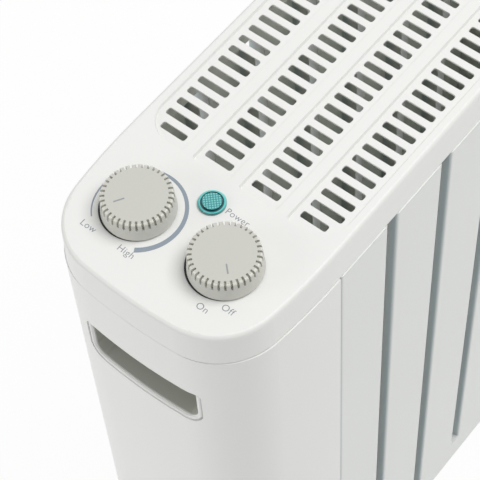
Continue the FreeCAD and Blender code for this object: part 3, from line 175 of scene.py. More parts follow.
def coated_steel(name, colour, shade, thin, painted_deep_light, painted_inside_light):
    """Zinc-plated sheet steel with an electrostatic powder coat.

    The eye sees an even white with a faint orange peel. The gaps' walls, found by how far the
    normal turns to X, carry painted shade in blue-grey near the outer face that gives way to a
    paler painted light further in. The inner faces are painted paler and greener than the coat, as
    painted light for the inside.
    """
    drift_mm = 180.0
    peel_mm = 1.6
    peel_depth_mm = 0.03
    edge_mm = 0.8
    # The painted shade on the gaps' walls gives way to painted light between these depths behind
    # the outer face
    painted_shade_depth_mm = 4.0
    painted_light_depth_mm = 10.0
    # A gap's wall begins and is whole where the normal turns this far to X
    wall_starts = 0.45
    wall_whole = 0.95
    material, tree, place = start_material(name)
    drift = add_node(tree, "ShaderNodeTexNoise", {
        "Vector": place, "Scale": per_mm(drift_mm), "Detail": 1.0})
    coat = add_node(tree, "ShaderNodeMix", {
        SHARE: drift.outputs[0], COLOUR_A: colour, COLOUR_B: shade}, data_type="RGBA")
    axes = add_node(tree, "ShaderNodeSeparateXYZ", {"Vector": place})
    facing = add_node(tree, "ShaderNodeNewGeometry")
    sides = add_node(tree, "ShaderNodeSeparateXYZ", {"Vector": facing.outputs["Normal"]})
    outward = add_node(tree, "ShaderNodeMath", {
        0: sides.outputs["Y"], 1: axes.outputs["Y"]}, operation="MULTIPLY")
    # Painted light: faces that point inward take a paler, greener colour than the coat
    inner = add_node(tree, "ShaderNodeMath", {0: outward.outputs[0], 1: 0.0}, operation="LESS_THAN")
    face = add_node(tree, "ShaderNodeMix", {
        SHARE: inner.outputs[0], COLOUR_A: coat.outputs[MIXED], COLOUR_B: painted_inside_light}, data_type="RGBA")
    reach = add_node(tree, "ShaderNodeMath", {0: axes.outputs["Y"]}, operation="ABSOLUTE")
    inside = add_node(tree, "ShaderNodeMapRange", {
        "Value": reach.outputs[0], "From Min": SIDE_Y - painted_shade_depth_mm * MM,
        "From Max": SIDE_Y - painted_light_depth_mm * MM})
    # Painted shade in blue-grey on the gaps' walls, turning to paler painted light deeper in
    painted_wall_tone = add_node(tree, "ShaderNodeMix", {
        SHARE: inside.outputs[0], COLOUR_A: thin, COLOUR_B: painted_deep_light}, data_type="RGBA")
    across = add_node(tree, "ShaderNodeMath", {0: sides.outputs["X"]}, operation="ABSOLUTE")
    wall = add_node(tree, "ShaderNodeMapRange", {
        "Value": across.outputs[0], "From Min": wall_starts, "From Max": wall_whole})
    tone = add_node(tree, "ShaderNodeMix", {
        SHARE: wall.outputs[0], COLOUR_A: face.outputs[MIXED], COLOUR_B: painted_wall_tone.outputs[MIXED]},
        data_type="RGBA")
    peel = add_node(tree, "ShaderNodeTexNoise", {
        "Vector": place, "Scale": per_mm(peel_mm), "Detail": 1.0, "Roughness": 0.4})
    satin = add_node(tree, "ShaderNodeMapRange", {
        "Value": peel.outputs[0], **NOISE_SPAN, "To Min": 0.36, "To Max": 0.46})
    rounded = add_node(tree, "ShaderNodeBevel", {"Radius": edge_mm * MM}, samples=4)
    bump = add_node(tree, "ShaderNodeBump", {
        "Strength": 0.25, "Distance": peel_depth_mm * MM, "Height": peel.outputs[0],
        "Normal": rounded.outputs[0]})
    shader = add_node(tree, "ShaderNodeBsdfPrincipled", {
        "Base Color": tone.outputs[MIXED], "Normal": bump.outputs[0], "IOR": 1.5,
        "Roughness": satin.outputs[0]})
    end_material(tree, shader)
    return material


def galvanised_sheet(name, colour, shade):
    """Hot-dipped zinc sheet, weathered to a dull bloom.

    The eye sees pale grey metal broken into spangles about 8 mm across, each with its own shine.
    """
    spangle_mm = 8.0
    material, tree, place = start_material(name)
    spangle = add_node(tree, "ShaderNodeTexVoronoi", {"Vector": place, "Scale": per_mm(spangle_mm)})
    flake = add_node(tree, "ShaderNodeSeparateColor", {"Color": spangle.outputs["Color"]})
    tone = add_node(tree, "ShaderNodeMix", {
        SHARE: flake.outputs[0], COLOUR_A: colour, COLOUR_B: shade}, data_type="RGBA")
    shine = add_node(tree, "ShaderNodeMapRange", {
        "Value": flake.outputs[1], "To Min": 0.38, "To Max": 0.6})
    shader = add_node(tree, "ShaderNodeBsdfPrincipled", {
        "Base Color": tone.outputs[MIXED], "Metallic": 0.2, "Roughness": shine.outputs[0]})
    end_material(tree, shader)
    return material


def drawn_metal(name, colour, shade, line_mm, roughness):
    """Drawn or extruded metal.

    The eye sees fine lines along X, left by the die, that stretch the highlights across them.
    """
    # The lines are 50 times as long as they are wide
    stretch = 0.02
    line_depth_mm = 0.02
    material, tree, place = start_material(name)
    along = add_node(tree, "ShaderNodeMapping", {"Vector": place, "Scale": (stretch, 1.0, 1.0)})
    lines = add_node(tree, "ShaderNodeTexNoise", {
        "Vector": along.outputs[0], "Scale": per_mm(line_mm), "Detail": 2.0})
    tone = add_node(tree, "ShaderNodeMix", {
        SHARE: lines.outputs[0], COLOUR_A: colour, COLOUR_B: shade}, data_type="RGBA")
    shine = add_node(tree, "ShaderNodeMapRange", {
        "Value": lines.outputs[0], **NOISE_SPAN,
        "To Min": roughness - 0.08, "To Max": roughness + 0.08})
    bump = add_node(tree, "ShaderNodeBump", {
        "Strength": 0.3, "Distance": line_depth_mm * MM, "Height": lines.outputs[0]})
    shader = add_node(tree, "ShaderNodeBsdfPrincipled", {
        "Base Color": tone.outputs[MIXED], "Metallic": 1.0, "Normal": bump.outputs[0],
        "Roughness": shine.outputs[0]})
    end_material(tree, shader)
    return material


def glazed_ceramic(name, colour, shade):
    """Pressed steatite under a clear glaze.

    The eye sees an off-white body with faint specks below a sharp gloss.
    """
    speck_mm = 0.9
    material, tree, place = start_material(name)
    specks = add_node(tree, "ShaderNodeTexNoise", {
        "Vector": place, "Scale": per_mm(speck_mm), "Detail": 3.0})
    tone = add_node(tree, "ShaderNodeMix", {
        SHARE: specks.outputs[0], COLOUR_A: colour, COLOUR_B: shade}, data_type="RGBA")
    gloss = add_node(tree, "ShaderNodeMapRange", {
        "Value": specks.outputs[0], **NOISE_SPAN, "To Min": 0.25, "To Max": 0.4})
    shader = add_node(tree, "ShaderNodeBsdfPrincipled", {
        "Base Color": tone.outputs[MIXED], "IOR": 1.55, "Coat Weight": 0.5, "Coat Roughness": 0.08,
        "Roughness": gloss.outputs[0]})
    end_material(tree, shader)
    return material


def tinted_lens(name, bright, painted_shade, edge, low_z, high_z, shade_ring_mm):
    """Moulded acrylic, tinted through.

    The eye sees painted highlight on the high parts and painted shade in the low ones, painted
    shade inside a soft ring set off centre for the dark holder under the flange, and a painted
    highlight on the outer edge.
    """
    cloud_mm = 3.0
    # The ring of painted shade sits 0.5 mm off centre, and its rim is this soft
    shade_shift_x_mm = 0.38
    shade_shift_y_mm = 0.33
    rim_mm = 0.2
    # The painted highlight on the edge comes in between these radii
    pale_from_mm = 7.9
    pale_to_mm = 9.2
    material, tree, place = start_material(name)
    axes = add_node(tree, "ShaderNodeSeparateXYZ", {"Vector": place})
    lit_by_height = add_node(tree, "ShaderNodeMapRange", {
        "Value": axes.outputs["Z"], "From Min": low_z, "From Max": high_z})
    middle = middle_of("pilot_lamp_lens")
    centred = add_node(tree, "ShaderNodeMapping", {
        "Vector": place, "Scale": (1.0, 1.0, 0.0),
        "Location": (-middle.x + shade_shift_x_mm * MM, -middle.y + shade_shift_y_mm * MM, 0.0)})
    radius = add_node(tree, "ShaderNodeVectorMath", {0: centred.outputs[0]}, operation="LENGTH")
    outside = add_node(tree, "ShaderNodeMapRange", {
        "Value": radius.outputs["Value"],
        "From Min": (shade_ring_mm - rim_mm) * MM, "From Max": (shade_ring_mm + rim_mm) * MM})
    # Painted shade: low parts and the inside of the off-centre ring take the dark teal
    clear = add_node(tree, "ShaderNodeMath", {
        0: lit_by_height.outputs[0], 1: outside.outputs[0]}, operation="MINIMUM")
    body = add_node(tree, "ShaderNodeMix", {
        SHARE: clear.outputs[0], COLOUR_A: painted_shade, COLOUR_B: bright}, data_type="RGBA")
    thin = add_node(tree, "ShaderNodeMapRange", {
        "Value": radius.outputs["Value"],
        "From Min": pale_from_mm * MM, "From Max": pale_to_mm * MM})
    # Painted highlight: the outer edge pales
    tone = add_node(tree, "ShaderNodeMix", {
        SHARE: thin.outputs[0], COLOUR_A: body.outputs[MIXED], COLOUR_B: edge}, data_type="RGBA")
    cloud = add_node(tree, "ShaderNodeTexNoise", {
        "Vector": place, "Scale": per_mm(cloud_mm), "Detail": 1.0})
    gloss = add_node(tree, "ShaderNodeMapRange", {
        "Value": cloud.outputs[0], **NOISE_SPAN, "To Min": 0.1, "To Max": 0.2})
    shader = add_node(tree, "ShaderNodeBsdfPrincipled", {
        "Base Color": tone.outputs[MIXED], "IOR": 1.49, "Coat Weight": 0.4, "Coat Roughness": 0.05,
        "Roughness": gloss.outputs[0]})
    end_material(tree, shader)
    return material


def braided_sleeve(name, colour, shade):
    """Glass-fibre braid over a wire.

    The eye sees light and dark strands crossing about every 0.8 mm, with a soft sheen.
    """
    strand_mm = 0.8
    strand_depth_mm = 0.1
    material, tree, place = start_material(name)
    strands = add_node(tree, "ShaderNodeTexChecker", {
        "Vector": place, "Scale": per_mm(strand_mm), "Color1": colour, "Color2": shade})
    bump = add_node(tree, "ShaderNodeBump", {
        "Strength": 0.4, "Distance": strand_depth_mm * MM, "Height": strands.outputs["Fac"]})
    shader = add_node(tree, "ShaderNodeBsdfPrincipled", {
        "Base Color": strands.outputs["Color"], "Normal": bump.outputs[0], "Roughness": 0.7,
        "Sheen Weight": 0.2})
    end_material(tree, shader)
    return material


def pad_ink(name, colour, shade):
    """Pad-printed ink.

    The eye sees a thin matt film, a little uneven where pinholes let the plastic through.
    """
    pinhole_mm = 0.4
    material, tree, place = start_material(name)
    film = add_node(tree, "ShaderNodeTexNoise", {
        "Vector": place, "Scale": per_mm(pinhole_mm), "Detail": 2.0})
    tone = add_node(tree, "ShaderNodeMix", {
        SHARE: film.outputs[0], COLOUR_A: colour, COLOUR_B: shade}, data_type="RGBA")
    matt = add_node(tree, "ShaderNodeMapRange", {
        "Value": film.outputs[0], **NOISE_SPAN, "To Min": 0.5, "To Max": 0.65})
    shader = add_node(tree, "ShaderNodeBsdfPrincipled", {
        "Base Color": tone.outputs[MIXED], "Roughness": matt.outputs[0]})
    end_material(tree, shader)
    return material


# Settings a user would change

def colour_setting(name, description, hex_colour):
    """A colour that opens a colour picker."""
    return FloatVectorProperty(name=name, description=description, subtype="COLOR", size=4,
                               min=0.0, max=1.0, default=linear(hex_colour))


def length_setting(name, description, size_mm):
    """A length, given here in millimetres."""
    return FloatProperty(name=name, description=description, unit="LENGTH", min=0.0,
                         default=size_mm * MM)


def power_setting(name, description, watts):
    """A lamp's power."""
    return FloatProperty(name=name, description=description, unit="POWER", min=0.0, default=watts)


class RadiatorFinishes(bpy.types.PropertyGroup):
    """Colours of the radiator's finishes."""

    body_white: colour_setting("Body white", "Top and end mouldings", "#EFEFED")
    steel_white: colour_setting("Steel white", "Powder coat on the slatted sides", "#E8EAE7")
    knob_grey: colour_setting("Knob grey", "Both control knobs", "#CCCCC4")
    lens_teal: colour_setting("Lens teal", "Pilot lamp lens", "#5CCFCD")
    ink_grey: colour_setting("Ink grey", "Printed words", "#838990")
    scale_grey: colour_setting("Scale grey", "Printed temperature scale", "#8F9AA6")


class RadiatorPrint(bpy.types.PropertyGroup):
    """Sizes of the prints on the panel and the knobs, and the count of the lamp's facets."""

    scale_radius: length_setting("Scale radius", "Middle of the printed scale from the knob", 28.0)
    scale_thin: length_setting("Scale thin end", "Width of the scale at its low end", 0.7)
    scale_wide: length_setting("Scale wide end", "Width of the scale at its high end", 3.3)
    word_size: length_setting("Word size", "Font size of the words", 6.1)
    stroke_trim: length_setting("Stroke trim", "Taken off each side of the font's strokes", 0.05)
    film: length_setting("Ink film", "How far ink stands above what it is printed on", 0.06)
    pointer_length: length_setting("Pointer length", "Length of the line on a knob", 6.8)
    pointer_width: length_setting("Pointer width", "Width of the line on a knob", 0.9)
    facet_count: IntProperty(name="Lens facets", description="Pyramids across the lens",
                             default=9, min=3)


class RadiatorStudio(bpy.types.PropertyGroup):
    """Light and camera of the stage."""

    floor_white: colour_setting("Floor", "Pale studio floor", "#F4F4F4")
    sky: FloatProperty(name="Sky", description="Strength of the even white surround",
                       default=0.5, min=0.0)
    overhead_power: power_setting("Overhead box", "Soft box above the front", 49.0)
    end_power: power_setting("End box", "Soft box facing the control end", 16.0)
    focal_length: FloatProperty(name="Focal length", description="Camera lens", unit="CAMERA",
                                default=131.71)


# Shared modelling steps

def clear_selection():
    """Leave edit mode and deselect everything, the CAD nodes too."""
    if bpy.context.object and bpy.context.object.mode != "OBJECT":
        bpy.ops.object.mode_set(mode="OBJECT")
    bpy.ops.object.select_all(action="DESELECT")


def select_alone(piece):
    """Make a piece the only one selected, and the active one."""
    clear_selection()
    piece.select_set(True)
    bpy.context.view_layer.objects.active = piece


def pick(piece, kind, test):
    """In edit mode, select only the vertices, edges or faces that pass a test."""
    bpy.ops.mesh.select_mode(type=kind)
    bpy.ops.mesh.select_all(action="DESELECT")
    bpy.ops.object.mode_set(mode="OBJECT")
    mesh = piece.data
    for part in {"VERT": mesh.vertices, "EDGE": mesh.edges, "FACE": mesh.polygons}[kind]:
        part.select = test(part)
    bpy.ops.object.mode_set(mode="EDIT")


def heights_of(piece, edge):
    """Heights of an edge's two ends."""
    return [piece.data.vertices[index].co.z for index in edge.vertices]


def copy_of(piece):
    """A copy of a piece with its own mesh."""
    select_alone(piece)
    bpy.ops.object.duplicate(linked=False)
    return bpy.context.object


def remove(piece):
    """Delete a piece that was only a help."""
    select_alone(piece)
    bpy.ops.object.delete()


def settle(piece, name, body, material):
    """Put a finished piece's place into its mesh, dress it and join it to a body."""
    select_alone(piece)
    bpy.ops.object.transform_apply(location=True, rotation=True, scale=True)
    piece.name = name
    piece.data.name = name
    piece.data.materials.clear()
    piece.data.materials.append(material)
    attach(piece, body)
    clear_selection()


# Operators

class RADIATOR_OT_finish_nodes(bpy.types.Operator):
    """Give every CAD node the finish of its material slot."""

    bl_idname = "radiator.finish_nodes"
    bl_label = "Finish CAD nodes"

    # Heights above the panel where the lens turns from painted shade to bright, and its painted
    # shade ring's radius
    LENS_DEEP_MM = 1.5
    LENS_CLEAR_MM = 1.8
    LENS_SHADE_RING_MM = 7.1

    def execute(self, context):
        colours = context.scene.radiator_finishes
        # Real tool grain is about 0.15 mm; it is drawn coarser so that it shows in the render
        finishes = {
            # Satin white with a fine grain, with painted shade a little greyer where an edge turns
            # down
            "white_abs": moulded_plastic(
                "white_abs_satin", colours.body_white, linear("#EDEDEA"), linear("#E6E6E3"),
                grain_mm=0.9, depth_mm=0.03, roughness=0.42, edge_mm=0.3),
            # Even white faces, painted shade in blue-grey on the gaps' walls, painted light deeper
            # in and inside
            "white_steel": coated_steel(
                "white_powder_coat", colours.steel_white, linear("#E5E7E4"),
                thin=linear("#C4CED0"), painted_deep_light=linear("#E2E2DD"), painted_inside_light=linear("#F6F9F0")),
            # Pale spangled sheet that lightens the inside
            "galvanised": galvanised_sheet(
                "galvanised_sheet", linear("#EEF0E8"), linear("#E4E6DD")),
            # Warm grey with a painted highlight on the ridges between the grooves
            "knob_grey": moulded_plastic(
                "grey_abs_satin", colours.knob_grey, linear("#CACAC3"), linear("#DCDBD1"),
                grain_mm=0.7, depth_mm=0.03, roughness=0.4, edge_mm=0.5),
            # Duller grey behind the finger recess, with a faint painted highlight on its sloping
            # edges
            "cup_grey": moulded_plastic(
                "grey_polypropylene", linear("#BDBFB6"), linear("#B7B9B0"), linear("#C4C6BD"),
                grain_mm=0.9, depth_mm=0.03, roughness=0.5, edge_mm=0.4),
            # Clear teal with painted shade low down and in an off-centre ring, and a painted
            # highlight on the rim
            "lens_teal": tinted_lens(
                "teal_acrylic", colours.lens_teal, linear("#1B4F55"), linear("#A6E6E1"),
                low_z=PANEL_Z + self.LENS_DEEP_MM * MM, high_z=PANEL_Z + self.LENS_CLEAR_MM * MM,
                shade_ring_mm=self.LENS_SHADE_RING_MM),
            # Near black with a matt grain and a painted highlight on its sloping edges
            "black_plastic": moulded_plastic(
                "black_polyamide", linear("#1D1E20"), linear("#242527"), linear("#303133"),
                grain_mm=0.6, depth_mm=0.04, roughness=0.5, edge_mm=0.3),
            # White as the body, with a deeper grain, less shine and a faint painted highlight on
            # its edges
            "foot_plastic": moulded_plastic(
                "white_foot_abs", linear("#E6E7E4"), linear("#E2E3E0"), linear("#ECECEA"),
                grain_mm=0.9, depth_mm=0.04, roughness=0.48, edge_mm=0.5),
            # Dark grey with a painted highlight on its sloping edges
            "castor_plastic": moulded_plastic(
                "dark_grey_nylon", linear("#3A3C3E"), linear("#343638"), linear("#505254"),
                grain_mm=0.7, depth_mm=0.04, roughness=0.45, edge_mm=0.3),
            # Dull black that hardly shines, with a faint painted highlight on its sloping edges
            "wheel_rubber": moulded_plastic(
                "black_rubber", linear("#26272A"), linear("#2E2F31"), linear("#3A3B3D"),
                grain_mm=0.5, depth_mm=0.05, roughness=0.7, edge_mm=0.3),
            # Bright matt metal lined along its length
            "element_aluminium": drawn_metal(
                "extruded_aluminium", linear("#E4E6E2"), linear("#D4D7D3"),
                line_mm=0.8, roughness=0.5),
            # Off-white under a gloss
            "ceramic_white": glazed_ceramic(
                "glazed_steatite", linear("#E9E6DC"), linear("#DDD9CE")),
            # Grey metal with a clear shine
            "bare_steel": drawn_metal(
                "zinc_plated_steel", linear("#B5B8BA"), linear("#9B9EA1"),
                line_mm=0.5, roughness=0.35),
            # Cream strands with darker ones between them
            "wire_sheath": braided_sleeve("glass_braid", linear("#D8D5CC"), linear("#B9B5AA")),
        }
        for row in frame["record"]["subparts"]:
            node = frame["nodes"][row["node"]]
            node.data.materials.clear()
            node.data.materials.append(finishes[row["material_slot"]])
        return {"FINISHED"}


class RADIATOR_OT_temperature_scale(bpy.types.Operator):
    """Print the tapered temperature scale round the thermostat knob."""

    bl_idname = "radiator.temperature_scale"
    bl_label = "Temperature scale"

    START_DEG = 136.0
    SWEEP_DEG = 288.0
    STEPS = 70
    MERGE_MM = 0.01

    def execute(self, context):
        sizes = context.scene.radiator_print
        centre = middle_of("thermostat_knob")
        # Blue-grey ink
        ink = pad_ink("scale_ink", context.scene.radiator_finishes.scale_grey, linear("#939EAA"))
        step = math.radians(self.SWEEP_DEG / self.STEPS)
        clear_selection()
        bpy.ops.mesh.primitive_plane_add(size=sizes.scale_thin)
        strip = context.object
        bpy.ops.object.mode_set(mode="EDIT")
        # One edge of the plane is left, as the scale's thin end
        pick(strip, "VERT", lambda vertex: vertex.co.y < 0)
        bpy.ops.mesh.delete(type="VERT")
        bpy.ops.mesh.select_all(action="SELECT")
        at = sizes.scale_radius
        bpy.ops.transform.translate(value=(at, -strip.data.vertices[0].co.y, 0))
        width = sizes.scale_thin
        for index in range(self.STEPS):
            share = (index + 1) / self.STEPS
            wanted = sizes.scale_thin + (sizes.scale_wide - sizes.scale_thin) * share
            grow = wanted / width
            turned = index * step
            edge_middle = (at * math.cos(turned), -at * math.sin(turned), 0)
            bpy.ops.mesh.extrude_region_move()
            bpy.ops.transform.resize(value=(grow, grow, 1), center_override=edge_middle)
            bpy.ops.transform.rotate(value=step, orient_axis="Z", center_override=(0, 0, 0))
            width = wanted
        bpy.ops.mesh.select_all(action="SELECT")
        bpy.ops.mesh.remove_doubles(threshold=self.MERGE_MM * MM)
        bpy.ops.mesh.normals_make_consistent(inside=False)
        bpy.ops.object.mode_set(mode="OBJECT")
        # Half of the film lies in the panel, so it has no gap below it
        film = strip.modifiers.new("film", "SOLIDIFY")
        film.thickness = 2 * sizes.film
        film.offset = 0.0
        bpy.ops.object.modifier_apply(modifier="film")
        strip.rotation_euler.z = math.radians(self.START_DEG)
        strip.location = (centre.x, centre.y, PANEL_Z)
        settle(strip, "temperature_scale", "casing", ink)
        return {"FINISHED"}


class RADIATOR_OT_control_words(bpy.types.Operator):
    """Print the plain words beside the knobs and the lamp."""

    bl_idname = "radiator.control_words"
    bl_label = "Control words"

    # Word and the middle of its place on the panel, in millimetres
    WORDS = (("Low", -262.8, 48.6), ("High", -262.9, 19.6), ("On", -264.9, -39.0),
             ("Off", -257.1, -51.3), ("Power", -206.0, -17.0))
    READ_DEG = -90.0
    LETTER_SPACING = 1.06
    MERGE_MM = 0.001

    def execute(self, context):
        sizes = context.scene.radiator_print
        # Mid grey ink
        ink = pad_ink("word_ink", context.scene.radiator_finishes.ink_grey, linear("#8B9198"))
        for word, x_mm, y_mm in self.WORDS:
            clear_selection()
            bpy.ops.object.text_add(location=(0, 0, 0))
            letters = context.object.data
            letters.body = word
            letters.align_x = "CENTER"
            letters.align_y = "CENTER"
            letters.size = sizes.word_size
            letters.extrude = sizes.film
            letters.offset = -sizes.stroke_trim
            letters.space_character = self.LETTER_SPACING
            bpy.ops.object.convert(target="MESH")
            printed = context.object
            bpy.ops.object.mode_set(mode="EDIT")
            bpy.ops.mesh.select_all(action="SELECT")
            bpy.ops.mesh.remove_doubles(threshold=self.MERGE_MM * MM)
            bpy.ops.object.mode_set(mode="OBJECT")
            printed.rotation_euler.z = math.radians(self.READ_DEG)
            printed.location = (x_mm * MM, y_mm * MM, PANEL_Z)
            settle(printed, f"word_{word.lower()}", "casing", ink)
        return {"FINISHED"}


class RADIATOR_OT_knob_pointers(bpy.types.Operator):
    """Print the pointer line on each knob's flat top."""

    bl_idname = "radiator.knob_pointers"
    bl_label = "Knob pointers"

    # Body and the pointer's direction at rest, in degrees from +X
    POINTERS = (("thermostat", 148.5), ("switch", -133.0))
    MIDDLE_MM = 10.7
    # The ends are rounded by nearly half the line's width
    END_SHARE = 0.48
    END_SEGMENTS = 4

    def execute(self, context):
        # Paler grey ink, faint on the knobs
        ink = pad_ink("pointer_ink", linear("#94979A"), linear("#9C9FA1"))
        line = self.model_line(context)
        reach = self.MIDDLE_MM * MM
        for body, degrees in self.POINTERS:
            low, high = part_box(f"{body}_knob")
            centre = (low + high) / 2
            angle = math.radians(degrees)
            pointer = copy_of(line)
            pointer.rotation_euler.z = angle
            pointer.location = (centre.x + reach * math.cos(angle),
                                centre.y + reach * math.sin(angle), high.z)
            settle(pointer, f"{body}_pointer", body, ink)
        remove(line)
        return {"FINISHED"}

    def model_line(self, context):
        """A line along X with rounded ends, half sunk in what it is printed on."""
        sizes = context.scene.radiator_print
        clear_selection()
        bpy.ops.mesh.primitive_cube_add(
            size=1, scale=(sizes.pointer_length, sizes.pointer_width, 2 * sizes.film))
        line = context.object
        bpy.ops.object.transform_apply(location=False, rotation=False, scale=True)

        def upright(edge):
            start, end = heights_of(line, edge)
            return abs(start - end) > sizes.film

        bpy.ops.object.mode_set(mode="EDIT")
        pick(line, "EDGE", upright)
        bpy.ops.mesh.bevel(offset=sizes.pointer_width * self.END_SHARE,
                           segments=self.END_SEGMENTS, affect="EDGES")
        bpy.ops.object.mode_set(mode="OBJECT")
        return line


class RADIATOR_OT_knob_shadow_rings(bpy.types.Operator):
    """Model a black ring under each knob, as painted shadow in the gap there."""

    bl_idname = "radiator.knob_seals"
    bl_label = "Knob seals"

    RADIUS_MM = 22.7
    BORE_MM = 14.0
    HEIGHT_MM = 1.0
    SOFT_MM = 0.2
    SOFT_SEGMENTS = 2
    CORNERS = 96
    # The rings of painted shadow sit a little off centre, to the left as the camera sees them
    SHIFT_MM = (-0.5, 1.25)

    def execute(self, context):
        # Deep black with no shine, as painted shadow in the gap under the knob
        shadow_black = moulded_plastic(
            "black_seal_rubber", linear("#101011"), linear("#151516"), linear("#101011"),
            grain_mm=0.5, depth_mm=0.03, roughness=0.7, edge_mm=0.2)
        ring = self.model_ring(context)
        for body in ("thermostat", "switch"):
            centre = middle_of(f"{body}_knob")
            shadow_ring = copy_of(ring)
            shadow_ring.location = (centre.x + self.SHIFT_MM[0] * MM, centre.y + self.SHIFT_MM[1] * MM,
                             PANEL_Z + self.HEIGHT_MM * MM / 2)
            settle(shadow_ring, f"{body}_seal", "casing", shadow_black)
        remove(ring)
        return {"FINISHED"}

    def model_ring(self, context):
        """A flat ring with soft edges."""
        clear_selection()
        bpy.ops.mesh.primitive_cylinder_add(
            vertices=self.CORNERS, radius=self.RADIUS_MM * MM, depth=self.HEIGHT_MM * MM,
            end_fill_type="NGON")
        ring = context.object
        bpy.ops.object.mode_set(mode="EDIT")
        pick(ring, "FACE", lambda face: abs(face.normal.z) > LEVEL)
        bpy.ops.mesh.inset(thickness=(self.RADIUS_MM - self.BORE_MM) * MM)
        bpy.ops.mesh.bridge_edge_loops()
        bpy.ops.mesh.select_all(action="SELECT")
        bpy.ops.mesh.normals_make_consistent(inside=False)
        bpy.ops.object.mode_set(mode="OBJECT")
        soft = ring.modifiers.new("soft_edges", "BEVEL")
        soft.width = self.SOFT_MM * MM
        soft.segments = self.SOFT_SEGMENTS
        bpy.ops.object.modifier_apply(modifier="soft_edges")
        return ring


class RADIATOR_OT_recess_beads(bpy.types.Operator):
    """Model the half-round bead along the sides and foot of each handle recess."""

    bl_idname = "radiator.recess_beads"
    bl_label = "Recess beads"

    # Line of the bead on the stepped rim, in millimetres: sides, and depths below the panel
    SIDES_MM = (-44.8, 39.8)
    TOP_MM = 72.5
    FOOT_MM = 106.9
    CORNER_MM = 10.7
    CORNER_SEGMENTS = 8
    CUTS = 24
    BEAD_MM = 1.4
    BEAD_RESOLUTION = 3

    def execute(self, context):
        colours = context.scene.radiator_finishes
        # The body's satin white, with no painted edge tone
        white = moulded_plastic(
            "white_bead_abs", colours.body_white, linear("#EDEDEA"), colours.body_white,
            grain_mm=0.9, depth_mm=0.03, roughness=0.42, edge_mm=0.3)
        middle = (self.SIDES_MM[0] + self.SIDES_MM[1]) * MM / 2
        # The far end is the control end turned half round
        for cover, start, y in (("control_end_cover", CAD_BOX[0].x, middle),
                                ("far_end_cover", CAD_BOX[1].x, -middle)):
            line = self.draw_line(context, start, y)
            lay = line.modifiers.new("lay_on_rim", "SHRINKWRAP")
            lay.target = frame["nodes"][cover]
            lay.wrap_method = "PROJECT"
            lay.use_project_x = True
            lay.use_negative_direction = True
            bpy.ops.object.modifier_apply(modifier="lay_on_rim")
            bpy.ops.object.convert(target="CURVE")
            curve = context.object.data
            curve.bevel_depth = self.BEAD_MM * MM
            curve.bevel_resolution = self.BEAD_RESOLUTION
            curve.use_fill_caps = True
            bpy.ops.object.convert(target="MESH")
            settle(context.object, f"{cover}_bead", "casing", white)
        return {"FINISHED"}

    def draw_line(self, context, start, y):
        """The bead's line as a U with round corners, flat in front of an end cover."""
        top = PANEL_Z - self.TOP_MM * MM
        foot = PANEL_Z - self.FOOT_MM * MM
        clear_selection()
        bpy.ops.mesh.primitive_plane_add(
            size=1, location=(start, y, (top + foot) / 2), rotation=(0, math.radians(90), 0))
        line = context.object
        line.scale = (top - foot, (self.SIDES_MM[1] - self.SIDES_MM[0]) * MM, 1)
        bpy.ops.object.transform_apply(location=True, rotation=True, scale=True)
        bpy.ops.object.mode_set(mode="EDIT")
        bpy.ops.mesh.select_all(action="SELECT")
        bpy.ops.mesh.delete(type="ONLY_FACE")
        pick(line, "EDGE", lambda edge: min(heights_of(line, edge)) > top - MM)
        bpy.ops.mesh.delete(type="EDGE")
        pick(line, "VERT", lambda vertex: vertex.co.z < foot + MM)
        bpy.ops.mesh.bevel(offset=self.CORNER_MM * MM, segments=self.CORNER_SEGMENTS,
                           affect="VERTICES")
        bpy.ops.mesh.select_all(action="SELECT")
        bpy.ops.mesh.subdivide(number_cuts=self.CUTS)
        bpy.ops.object.mode_set(mode="OBJECT")
        return line


